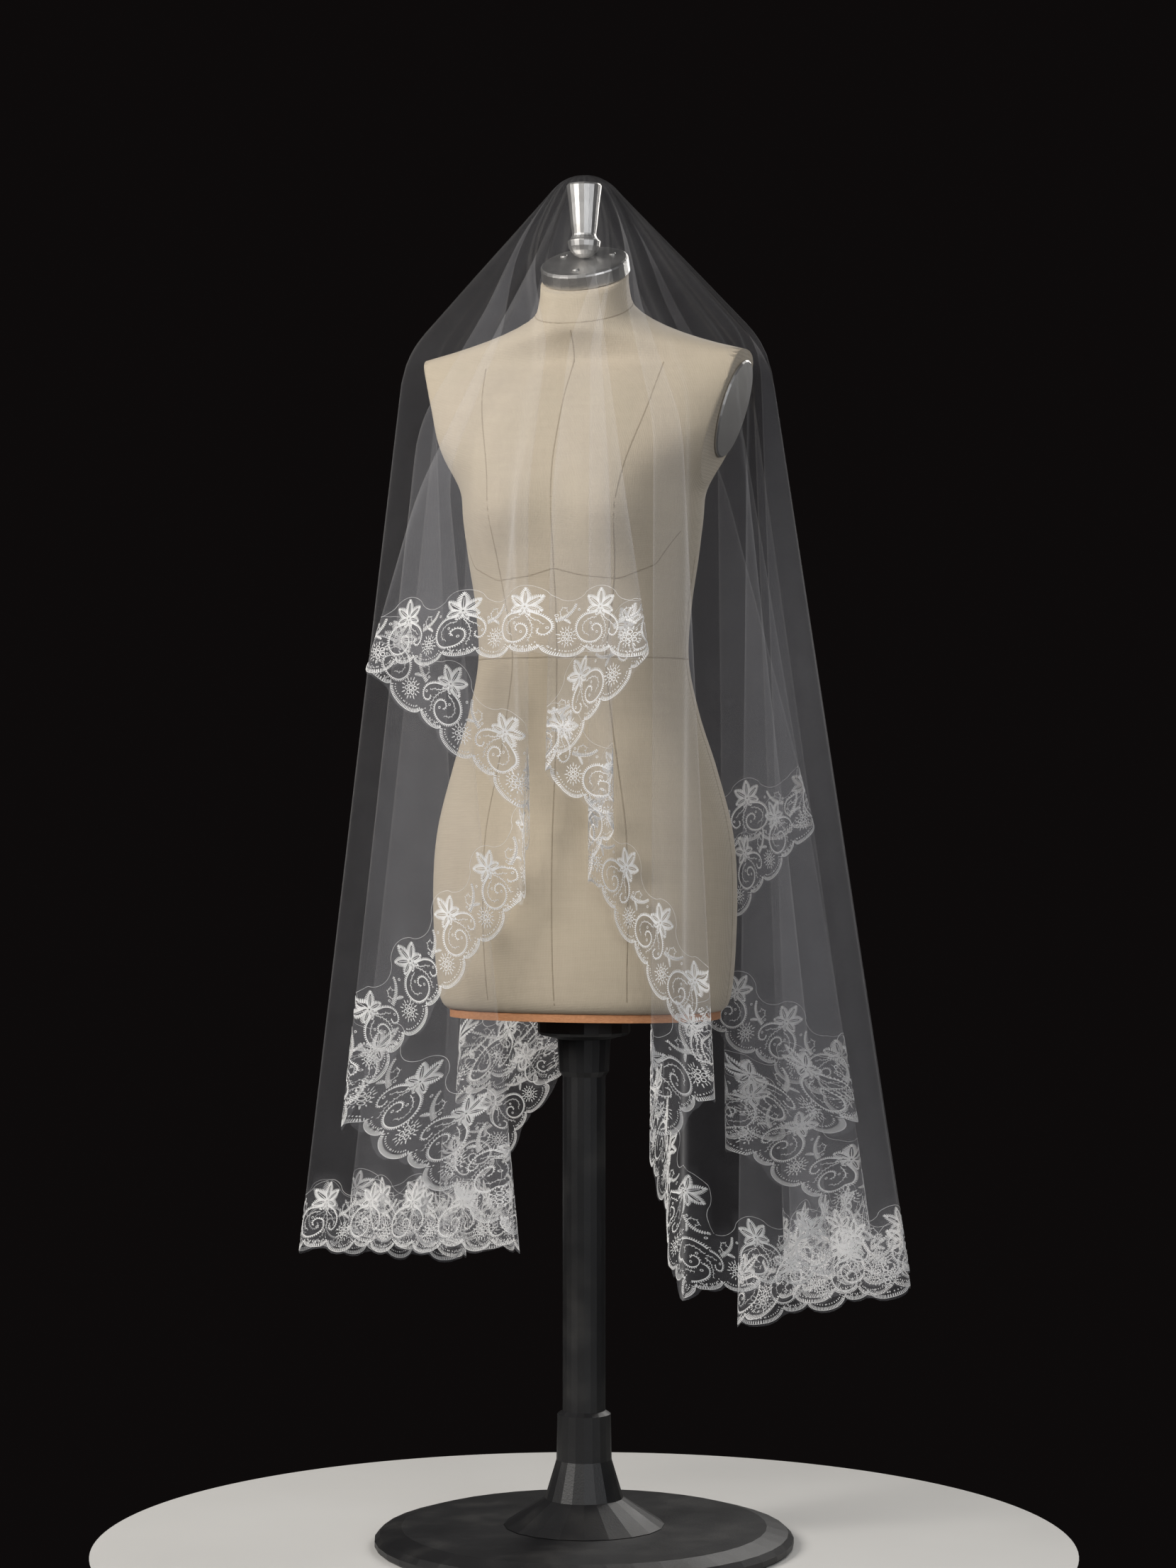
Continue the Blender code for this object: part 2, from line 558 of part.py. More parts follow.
def main():
    clear_scene()
    parts = new_collection("bridal_veil_on_dress_form")
    guides = new_collection("guides")
    tulle = new_material("tulle", (0.93, 0.93, 0.95), 0.60)
    lace = new_material("lace", (0.97, 0.96, 0.97), 0.45)
    linen = new_material("linen", (0.78, 0.73, 0.63), 0.90)
    metal = new_material("brushed_metal", (0.62, 0.61, 0.60), 0.32, 1.0)
    wood = new_material("board", (0.62, 0.33, 0.18), 0.70)
    black = new_material("black_metal", (0.012, 0.012, 0.013), 0.55)
    make_veil(parts, tulle, lace)
    make_torso(parts, guides, linen)
    make_knob(parts, metal)
    make_neck_plate(parts, metal)
    make_arm_plates(parts, metal)
    board_under = make_bottom_board(parts, wood)
    make_stand(parts, black, board_under)


main()
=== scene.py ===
# The look of the bridal veil on its dress form: fine net, embroidered lace edging, linen form and metal fittings.
# Metres, +Z up, the form faces -Y. The veil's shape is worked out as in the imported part, at a finer step.
import math
from collections import namedtuple

import bmesh
import bpy
import numpy as np
from mathutils import Matrix, Vector


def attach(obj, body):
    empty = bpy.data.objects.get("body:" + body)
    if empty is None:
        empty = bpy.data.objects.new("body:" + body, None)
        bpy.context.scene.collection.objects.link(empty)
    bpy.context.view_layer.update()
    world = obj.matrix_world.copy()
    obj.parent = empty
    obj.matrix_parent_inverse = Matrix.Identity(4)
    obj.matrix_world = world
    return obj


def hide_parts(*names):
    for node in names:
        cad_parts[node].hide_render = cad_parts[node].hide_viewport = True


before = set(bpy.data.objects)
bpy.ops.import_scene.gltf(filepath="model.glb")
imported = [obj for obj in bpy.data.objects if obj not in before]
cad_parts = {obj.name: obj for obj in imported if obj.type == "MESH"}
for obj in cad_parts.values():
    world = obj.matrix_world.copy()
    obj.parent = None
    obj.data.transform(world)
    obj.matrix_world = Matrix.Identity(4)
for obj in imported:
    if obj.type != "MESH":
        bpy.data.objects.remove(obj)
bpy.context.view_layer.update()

# ---- the cut and the folds ----
FRONT_DROP = 0.590
BACK_DROP = 0.780
RIGHT_REACH = 1.270
LEFT_REACH = 1.220
LACE_WIDTH = 0.085

CROWN_RADIUS = 0.0225
CROWN_HEIGHT = 1.5345
BEND = 0.035
TURN_AT_REST = 0.0050
TURN_WHEN_PARTED = 0.0024
PARTED_LEVEL = 0.120
SHORT_TURN = 0.25
CONE_HEIGHT = 1.330
CONE_SIDE = 0.200
CONE_FRONT = 0.088
CONE_BACK = 0.096
PARTING = (0.010, 0.120)
FOLDING = (0.020, 0.240)
REST_LEVEL = 0.400

Fold = namedtuple("Fold", "name edge along rest hem width")
FOLDS = [
    Fold("front_middle", "front", 0.000, (-0.020, -0.176, 1.170), (-0.030, -0.196, 0.985), 0.040),
    Fold("front_right_edge", "front", 0.165, (0.100, -0.168, 1.170), (0.137, -0.198, 0.983), 0.014),
    Fold("front_right_inner", "front", 0.340, (0.014, -0.155, 1.170), (0.010, -0.166, 0.855), 0.012),
    Fold("cascade_right", "front", 0.435, (0.077, -0.147, 1.170), (0.085, -0.162, 0.800), 0.010),
    Fold("cascade_right_inner", "front", 0.525, (0.050, -0.137, 1.170), (0.048, -0.132, 0.742), 0.010),
    Fold("low_right", "front", 0.815, (0.142, -0.092, 1.245), (0.182, -0.102, 0.508), 0.016),
    Fold("low_right_inner", "front", 0.950, (0.116, -0.114, 1.245), (0.122, -0.142, 0.450), 0.014),
    Fold("front_right_corner", "right", 0.590, (0.150, -0.096, 1.285), (0.175, -0.204, 0.308), 0.016),
    Fold("end_right_1", "right", 0.390, (0.184, -0.036, 1.325), (0.308, -0.078, 0.318), 0.018),
    Fold("end_right_2", "right", 0.245, (0.194, -0.010, 1.340), (0.188, -0.035, 0.250), 0.018),
    Fold("end_right_3", "right", 0.030, (0.208, 0.020, 1.338), (0.362, 0.058, 0.287), 0.018),
    Fold("end_right_4", "right", -0.130, (0.194, 0.038, 1.342), (0.218, 0.092, 0.262), 0.018),
    Fold("end_right_5", "right", -0.290, (0.199, 0.064, 1.328), (0.340, 0.150, 0.292), 0.018),
    Fold("end_right_6", "right", -0.460, (0.174, 0.080, 1.322), (0.190, 0.162, 0.282), 0.018),
    Fold("back_right_corner", "right", -0.780, (0.168, 0.098, 1.300), (0.280, 0.216, 0.318), 0.018),
    Fold("back_right_1", "back", 1.040, (0.124, 0.1100, 1.280), (0.112, 0.186, 0.425), 0.018),
    Fold("back_right_2", "back", 0.860, (0.148, 0.124, 1.270), (0.255, 0.258, 0.445), 0.018),
    Fold("back_right_3", "back", 0.560, (0.060, 0.120, 1.250), (0.030, 0.220, 0.590), 0.018),
    Fold("back_right_4", "back", 0.195, (0.120, 0.154, 1.200), (0.195, 0.285, 0.795), 0.018),
    Fold("back_middle", "back", 0.000, (0.000, 0.164, 1.200), (0.000, 0.285, 0.755), 0.060),
    Fold("back_left_4", "back", -0.195, (-0.120, 0.154, 1.200), (-0.195, 0.285, 0.795), 0.018),
    Fold("back_left_3", "back", -0.530, (-0.060, 0.120, 1.250), (-0.036, 0.224, 0.575), 0.018),
    Fold("back_left_2", "back", -0.780, (-0.148, 0.124, 1.270), (-0.246, 0.256, 0.460), 0.018),
    Fold("back_left_1", "back", -0.960, (-0.124, 0.1100, 1.280), (-0.085, 0.186, 0.500), 0.018),
    Fold("back_left_corner", "left", -0.780, (-0.168, 0.098, 1.300), (-0.250, 0.205, 0.302), 0.018),
    Fold("end_left_6", "left", -0.520, (-0.164, 0.080, 1.322), (-0.135, 0.152, 0.300), 0.018),
    Fold("end_left_5", "left", -0.290, (-0.194, 0.062, 1.328), (-0.338, 0.130, 0.312), 0.018),
    Fold("end_left_4", "left", -0.060, (-0.194, 0.038, 1.342), (-0.172, 0.088, 0.296), 0.018),
    Fold("end_left_3", "left", 0.220, (-0.207, -0.022, 1.336), (-0.318, -0.066, 0.320), 0.018),
    Fold("front_left_corner", "left", 0.590, (-0.122, -0.112, 1.195), (-0.030, -0.134, 0.340), 0.014),
    Fold("low_left", "front", -0.930, (-0.157, -0.110, 1.250), (-0.220, -0.182, 0.472), 0.016),
    Fold("cascade_left", "front", -0.580, (-0.036, -0.142, 1.170), (-0.024, -0.146, 0.712), 0.010),
    Fold("front_left_inner", "front", -0.420, (-0.014, -0.153, 1.170), (-0.014, -0.158, 0.815), 0.012),
    Fold("front_left_edge", "front", -0.190, (-0.138, -0.164, 1.170), (-0.190, -0.190, 0.968), 0.014),
]

# ---- the dress form ----
KNOB_BALL = 1.4600
KNOB_BALL_RADIUS = 0.0184
PLATE_TILT = math.radians(27)
PLATE_DEPTH = 0.0180
NECK_TOP = KNOB_BALL - (KNOB_BALL_RADIUS + PLATE_DEPTH + 0.0006) / math.cos(PLATE_TILT)
ARM_PLATE_TILT = math.radians(17)
ARM_CUT = (0.167, 0.018, 1.270)
UNDER_ARM_DIP, UNDER_ARM_HEIGHT, UNDER_ARM_SPREAD = 0.0048, 1.178, 0.022
BUST_SPREAD = 0.072
BUST_RISE = 0.018
FORM_STEPS = 180
# A row for each height: half width, depth to the front and to the back, slope to the back.
TORSO = np.array([
    (0.600, 0.157, 0.098, 0.108, 0.00),
    (0.606, 0.163, 0.104, 0.114, 0.00),
    (0.620, 0.167, 0.108, 0.118, 0.00),
    (0.660, 0.171, 0.113, 0.123, 0.00),
    (0.737, 0.173, 0.115, 0.126, 0.00),
    (0.800, 0.168, 0.112, 0.122, 0.00),
    (0.870, 0.150, 0.103, 0.108, 0.00),
    (0.930, 0.131, 0.099, 0.090, 0.00),
    (0.991, 0.119, 0.097, 0.080, 0.00),
    (1.050, 0.122, 0.101, 0.085, 0.00),
    (1.100, 0.129, 0.112, 0.093, 0.00),
    (1.155, 0.137, 0.126, 0.101, 0.00),
    (1.200, 0.151, 0.116, 0.109, 0.00),
    (1.240, 0.177, 0.096, 0.112, 0.00),
    (1.280, 0.191, 0.072, 0.106, 0.00),
    (1.305, 0.208, 0.051, 0.092, 0.00),
    (1.322, 0.222, 0.037, 0.078, 0.02),
    (1.331, 0.196, 0.036, 0.071, 0.06),
    (1.341, 0.155, 0.038, 0.066, 0.12),
    (1.353, 0.114, 0.042, 0.062, 0.20),
    (1.366, 0.080, 0.047, 0.056, 0.30),
    (1.380, 0.057, 0.050, 0.052, 0.40),
    (1.400, 0.050, 0.045, 0.051, 0.48),
    (NECK_TOP, 0.0485, 0.0430, 0.0525, math.tan(PLATE_TILT)),
])
PRINCESS_FRONT = ((0.104, 1.318), (0.098, 1.270), (0.078, 1.200), (0.072, 1.150), (0.066, 1.080), (0.052, 0.991),
                  (0.064, 0.900), (0.082, 0.800), (0.084, 0.700), (0.080, 0.604))
PRINCESS_BACK = ((0.098, 1.318), (0.094, 1.240), (0.080, 1.150), (0.058, 1.060), (0.046, 0.991), (0.058, 0.900),
                 (0.080, 0.800), (0.082, 0.700), (0.078, 0.604))
UNDER_BUST = ((0.000, 1.088), (0.030, 1.080), (0.070, 1.076), (0.105, 1.092), (0.126, 1.130))

# ---- the lace edging ----
REPEAT_MM = 76.0
INNER_EDGE = 71.0
INNER_RISE = 8.5
GROUND_FADE = 0.004
STRAIGHT_SHARE = 0.80
NET_MARGIN = 0.0025
DEEP_EDGE = 0.0150
SHALLOW_EDGE = 0.0028
LOW_BUMP_RISE = 0.0065
WIDE_BUMP = 0.0230
NET_STEP = 0.0075
CREASE_WIDTH = 0.0045

# ---- net and view ----
NET_COVER = 0.036
NET_CREASE_COVER = 0.100
LACE_GROUND_COVER = 0.036
FLOOR_RADIUS = 0.55
VIEW_TURN = 18.0
VIEW_DISTANCE = 4.0
VIEW_LEVEL = 0.852
VIEW_HEIGHT = 24.8
VIEW_ASIDE = 0.0044

SWAY = 0.035
SWAY_TURN = 2.4
SWAYING = (0.35, 1.0)
REPEATS = {"lace_front": 33, "lace_right": 18, "lace_back": 33, "lace_left": 18}
REPEAT = REPEAT_MM / 1000
SIDE_LENGTH = FRONT_DROP + BACK_DROP
END_LENGTH = RIGHT_REACH + LEFT_REACH
ROUND = 2 * (SIDE_LENGTH + END_LENGTH)


def between(a, b, share):
    return a + (b - a) * share


def curve_point(start, control, end, share):
    """A point of the arc that leaves start towards control and comes to end from it."""
    return between(between(start, control, share), between(control, end, share), share)


def smooth_step(value, start, end):
    share = np.clip((value - start) / (end - start), 0.0, 1.0)
    return share * share * (3 - 2 * share)


# ---- the hanging cloth ----
def flat_place(fold):
    """The fold's end on the cut rectangle, across and towards the front."""
    return {
        "front": np.array((fold.along, FRONT_DROP)),
        "back": np.array((fold.along, -BACK_DROP)),
        "right": np.array((RIGHT_REACH, fold.along)),
        "left": np.array((-LEFT_REACH, fold.along)),
    }[fold.edge]


def edge_distance(across, ahead):
    """How far round the cut edge a place on it is, counted from the front centre to the viewer's right."""
    right = RIGHT_REACH + FRONT_DROP - ahead
    back = RIGHT_REACH + SIDE_LENGTH + RIGHT_REACH - across
    left = RIGHT_REACH + SIDE_LENGTH + END_LENGTH + BACK_DROP + ahead
    tiny = 1e-6
    along_front = np.where(across >= 0, across, ROUND + across)
    place = np.where(ahead >= FRONT_DROP - tiny, along_front, left)
    place = np.where(ahead <= -BACK_DROP + tiny, back, place)
    return np.where((across >= RIGHT_REACH - tiny) & (ahead < FRONT_DROP - tiny), right, place)


def crown_line(out, end):
    """The line over the knob's rim and straight on to an end point."""
    crown = np.array((0.0, 0.0, CROWN_HEIGHT))
    rim = crown + out * CROWN_RADIUS
    down = (end - rim) / np.linalg.norm(end - rim)
    return [curve_point(crown, rim, rim + down * CROWN_RADIUS, i / 12) for i in range(13)], down


def measured(points):
    """The points as one array with their distances along the line from its start."""
    points = np.array(points)
    steps = np.linalg.norm(np.diff(points, axis=0), axis=1)
    return points, np.concatenate(([0.0], np.cumsum(steps)))


def at_distance(line, distance):
    points, distances = line
    return np.stack([np.interp(distance, distances, points[:, axis]) for axis in range(3)], axis=-1)


def fold_path(fold):
    """The line from the crown over the rest point to the hem, the cone under the crown, the way to the rest."""
    across, ahead = flat_place(fold)
    turn = math.hypot(across, ahead)
    out = np.array((across / turn, -ahead / turn, 0.0))
    rest, hem = np.array(fold.rest), np.array(fold.hem)
    points, down = crown_line(out, rest)
    below = (hem - rest) / np.linalg.norm(hem - rest)
    points += [curve_point(rest - down * BEND, rest, rest + below * BEND, i / 12) for i in range(13)]
    points.append(hem)
    ring = np.array((CONE_SIDE * out[0], (CONE_FRONT if ahead > 0 else CONE_BACK) * out[1], CONE_HEIGHT))
    cone, _ = crown_line(out, ring)
    line = measured(points)
    return line, measured(cone + [ring]), line[1][-8]


COUNT = len(FOLDS)
PATHS = [fold_path(fold) for fold in FOLDS]
PLACES = np.array([flat_place(fold) for fold in FOLDS])
WIDTHS = [fold.width for fold in FOLDS]
ROUND_PLACES = edge_distance(PLACES[:, 0], PLACES[:, 1])
ROUND_PLACES = np.append(ROUND_PLACES, ROUND_PLACES[0] + ROUND)


def fold_points(index, levels):
    """Points of a fold line: on the cone near the crown, then parted in depth, then folded sideways."""
    line, cone, rest = PATHS[index % COUNT]
    distance = np.interp(levels, (0.0, REST_LEVEL, 1.0), (0.0, rest, line[1][-1]))
    parted, folded = smooth_step(levels, *PARTING), smooth_step(levels, *FOLDING)
    share = np.stack((folded, parted, parted), axis=-1)
    return between(at_distance(cone, distance), at_distance(line, distance), share)


def level_direction(vectors):
    flat = vectors * np.array((1.0, 1.0, 0.0))
    return flat / np.maximum(np.linalg.norm(flat, axis=-1, keepdims=True), 1e-9)


def turn_corners(index, levels):
    """The two corners that a fold's round turn is drawn between, side by side across its tip."""
    before, here, after = (fold_points(index + step, levels) for step in (-1, 0, 1))
    across = level_direction(level_direction(after - here) - level_direction(before - here))
    shorter = np.minimum(np.linalg.norm(here - before, axis=-1), np.linalg.norm(after - here, axis=-1))
    width = np.interp(levels, (0.0, PARTED_LEVEL, REST_LEVEL, 1.0),
                      (0.0, TURN_WHEN_PARTED, TURN_AT_REST, WIDTHS[index % COUNT]))
    half = across * np.minimum(width * 0.5, shorter * SHORT_TURN)[..., None]
    return here - half, here, here + half


def leg_length(index):
    return float(np.linalg.norm(fold_points(index + 1, np.ones(1)) - fold_points(index, np.ones(1))))


def turn_share(index):
    """The share of a leg that its round turn takes up at each end."""
    return tuple(min(0.34, 1.6 * WIDTHS[i % COUNT] / leg_length(index)) for i in (index, index + 1))


SHARES = [turn_share(index) for index in range(COUNT)]


def cloth_points(columns, levels):
    """Points of the cloth: a column counts folds and the level runs from the crown to the hem."""
    columns, levels = np.broadcast_arrays(columns, levels)
    points = np.zeros(columns.shape + (3,))
    whole = np.floor(columns).astype(int)
    for index in np.unique(whole):
        here = whole == index
        part, level = (columns[here] - index)[:, None], levels[here]
        _, start, leave = turn_corners(index, level)
        arrive, end, _ = turn_corners(index + 1, level)
        first, last = SHARES[index % COUNT]
        run = arrive - leave
        low, high = leave + run * first, arrive - run * last
        into = curve_point(start, leave, low, np.clip(part / first, 0, 1))
        out = curve_point(high, arrive, end, np.clip((part - 1 + last) / last, 0, 1))
        middle = between(low, high, (part - first) / (1 - first - last))
        place = np.where(part < first, into, np.where(part > 1 - last, out, middle))
        side = level_direction(run)[:, (1, 0, 2)] * np.array((1.0, -1.0, 0.0))
        length = np.linalg.norm(run, axis=-1, keepdims=True)
        sway = np.sin(2 * math.pi * part + SWAY_TURN * (index % COUNT)) * np.sin(math.pi * part) ** 2
        points[here] = place + side * length * SWAY * sway * smooth_step(level, *SWAYING)[:, None]
    return points


def levels_at(columns, shares):
    """The level of a flat share of the way from the crown to the cut edge."""
    whole = np.floor(columns).astype(int)
    levels = np.zeros(columns.shape)
    for index in np.unique(whole):
        here = whole == index
        ends = []
        for side in (index, index + 1):
            line, _, rest = PATHS[side % COUNT]
            length = line[1][-1]
            ends.append(np.interp(shares[here] * length, (0.0, rest, length), (0.0, REST_LEVEL, 1.0)))
        levels[here] = between(*ends, columns[here] - index)
    return levels


def on_cloth(across, ahead, lift):
    """Points over the hanging cloth for places on the flat cut, lifted off its right side."""
    side = np.where(across > 0, RIGHT_REACH, LEFT_REACH)
    drop = np.where(ahead > 0, FRONT_DROP, BACK_DROP)
    shares = np.maximum(np.abs(across) / side, np.abs(ahead) / drop)
    place = edge_distance(across / shares, ahead / shares)
    columns = np.interp(place, ROUND_PLACES, np.arange(COUNT + 1))
    levels = levels_at(columns, shares)
    step = 0.004
    around = cloth_points(columns + step, levels) - cloth_points(columns - step, levels)
    down = cloth_points(columns, levels) - cloth_points(columns, levels - step)
    normals = np.cross(down, around)
    normals /= np.maximum(np.linalg.norm(normals, axis=-1, keepdims=True), 1e-12)
    return cloth_points(columns, levels) + normals * lift[..., None]


# ---- meshes ----
def add_piece(name, points, faces, smooth=True):
    mesh = bpy.data.meshes.new(name)
    mesh.from_pydata(np.asarray(points).tolist(), [], np.asarray(faces).tolist())
    mesh.validate()
    if smooth:
        mesh.shade_smooth()
    piece = bpy.data.objects.new(name, mesh)
    bpy.context.scene.collection.objects.link(piece)
    return piece


def grid_faces(rows, columns, closed):
    """Quads of a grid whose rows run down; a closed one joins its last column to its first."""
    row, column = np.meshgrid(np.arange(rows - 1), np.arange(columns if closed else columns - 1), indexing="ij")
    after = (column + 1) % columns
    quads = (row * columns + column, (row + 1) * columns + column, (row + 1) * columns + after, row * columns + after)
    return np.stack(quads, axis=-1).reshape(-1, 4)


# ---- the net ----
LACE_PIECES = ("lace_front", "lace_right", "lace_back", "lace_left")


def edge_inset(place):
    """How far the scalloped net ends short of the cut edge, at a distance round the edge."""
    runs = (("lace_front", -LEFT_REACH, END_LENGTH), ("lace_right", RIGHT_REACH, SIDE_LENGTH),
            ("lace_back", RIGHT_REACH + SIDE_LENGTH, END_LENGTH),
            ("lace_left", RIGHT_REACH + SIDE_LENGTH + END_LENGTH, SIDE_LENGTH))
    inset = np.zeros(place.shape)
    for name, start, length in runs:
        for turn in (-ROUND, 0.0, ROUND):
            along = place - start - turn
            on_it = (along >= -1e-9) & (along < length)
            inset = np.where(on_it, scallop(along / length * REPEATS[name]) - NET_MARGIN, inset)
    return np.maximum(inset, 0.0002)


def scallop(turns):
    """The embroidered edge's distance from the cut edge: a wide bump at each whole turn, a low one between."""
    part = np.abs(turns - np.round(turns)) * REPEAT
    wide = DEEP_EDGE - (DEEP_EDGE - SHALLOW_EDGE) * np.sqrt(np.clip(1 - (part / WIDE_BUMP) ** 2, 0, 1))
    low = DEEP_EDGE - LOW_BUMP_RISE * np.sqrt(np.clip(1 - ((REPEAT / 2 - part) / (REPEAT / 2 - WIDE_BUMP)) ** 2, 0, 1))
    return np.where(part < WIDE_BUMP, wide, low)


def inner_edge(turns):
    """The lace ground's inner edge in millimetres from the cut edge: highest behind each leaf, at the half turns."""
    rise = np.cos(2 * math.pi * (turns - 0.5))
    return INNER_EDGE + INNER_RISE * np.sign(rise) * np.abs(rise) ** 0.7


def lace_ground(across, ahead):
    """1 on the flat cut where the net is lace ground, falling to 0 past the ground's inner edge."""
    share = np.zeros(across.shape)
    for name, inwards, along, length in (
            ("lace_front", FRONT_DROP - ahead, across + LEFT_REACH, END_LENGTH),
            ("lace_right", RIGHT_REACH - across, FRONT_DROP - ahead, SIDE_LENGTH),
            ("lace_back", ahead + BACK_DROP, RIGHT_REACH - across, END_LENGTH),
            ("lace_left", across + LEFT_REACH, ahead + BACK_DROP, SIDE_LENGTH)):
        limit = inner_edge(along / length * REPEATS[name]) / 1000
        share = np.maximum(share, 1 - smooth_step(inwards, limit - GROUND_FADE, limit + GROUND_FADE))
    return share


def net_columns():
    """Column numbers round the veil: close together in the turns and at an even step along the legs."""
    columns = []
    for index in range(COUNT):
        first, last = SHARES[index]
        middle = max(3, round(leg_length(index) * (1 - first - last) / NET_STEP))
        columns += list(index + np.linspace(0, first, 7)[:-1])
        columns += list(index + np.linspace(first, 1 - last, middle + 1)[:-1])
        columns += list(index + np.linspace(1 - last, 1, 7)[:-1])
    return np.array(columns)


def make_net():
    columns = net_columns()
    whole = np.floor(columns).astype(int)
    places = between(PLACES[whole], PLACES[(whole + 1) % COUNT], (columns - whole)[:, None])
    round_place = edge_distance(places[:, 0], places[:, 1])
    inset = edge_inset(round_place)
    side = np.where(places[:, 0] > 0, RIGHT_REACH, LEFT_REACH)
    drop = np.where(places[:, 1] > 0, FRONT_DROP, BACK_DROP)
    on_end = np.abs(places[:, 0]) >= side - 1e-6
    edge_level = levels_at(columns, 1 - inset / np.where(on_end, side, drop))
    upper = np.concatenate((np.linspace(0.010, 0.150, 16), np.linspace(0.165, 0.480, 26), np.linspace(0.51, 0.88, 15)))
    rows = [np.full(columns.shape, level) for level in upper]
    rows += [between(upper[-1], edge_level, share) for share in np.linspace(0, 1, 12)[1:]]
    levels = np.array(rows)
    grid = cloth_points(np.broadcast_to(columns, levels.shape), levels)
    faces = grid_faces(*levels.shape, True)
    crown = len(faces), levels.size
    points = np.vstack((grid.reshape(-1, 3), (0, 0, CROWN_HEIGHT)))
    net = add_piece("veil_net", points, faces)
    mesh = net.data
    bm = bmesh.new()
    bm.from_mesh(mesh)
    bm.verts.ensure_lookup_table()
    top = bm.verts[crown[1]]
    for column in range(len(columns)):
        bm.faces.new((top, bm.verts[column], bm.verts[(column + 1) % len(columns)])).smooth = True
    bm.to_mesh(mesh)
    bm.free()
    legs = np.array([leg_length(index) for index in range(COUNT)])[whole]
    part = columns - whole
    nearest = np.minimum(part, 1 - part) * legs
    # The crease share is 1 at the fold tips: it raises the net's cover there and also drives the painted highlight
    # along the folds in the net's colour.
    crease = np.exp(-(np.maximum(levels, 0.15) * nearest / CREASE_WIDTH) ** 2)
    store(mesh, "crease", np.append(crease.ravel(), 1.0))
    store(mesh, "level", np.append(levels.ravel(), 0.0))
    low = levels_at(columns, np.full(columns.shape, STRAIGHT_SHARE))
    shares = between(STRAIGHT_SHARE, 1.0, (levels - low) / (1 - low))
    ground = lace_ground(shares * places[:, 0], shares * places[:, 1])
    store(mesh, "ground", np.append(ground.ravel(), 0.0))
    return net


def store(mesh, name, values):
    attribute = mesh.attributes.new(name, "FLOAT", "POINT")
    attribute.data.foreach_set("value", np.asarray(values, dtype=np.float32))


# ---- the embroidery, charted flat in millimetres along the edge and in from it ----
def spline(places, step=1.0):
    """A smooth line through the places, with a point at about each step."""
    places = np.array(places, float)
    ends = np.vstack((2 * places[0] - places[1], places, 2 * places[-1] - places[-2]))
    line = []
    for a, b, c, d in zip(ends, ends[1:], ends[2:], ends[3:]):
        count = max(2, round(np.linalg.norm(c - b) / step))
        t = (np.arange(count) / count)[:, None]
        line.append(0.5 * (2 * b + (c - a) * t + (2 * a - 5 * b + 4 * c - d) * t**2 + (3 * b - a - 3 * c + d) * t**3))
    return np.vstack((*line, places[-1:]))


def sides(line):
    """Unit directions square to a line, towards its left."""
    ahead = np.gradient(line, axis=0)
    ahead /= np.maximum(np.linalg.norm(ahead, axis=1, keepdims=True), 1e-9)
    return np.stack((-ahead[:, 1], ahead[:, 0]), axis=1)


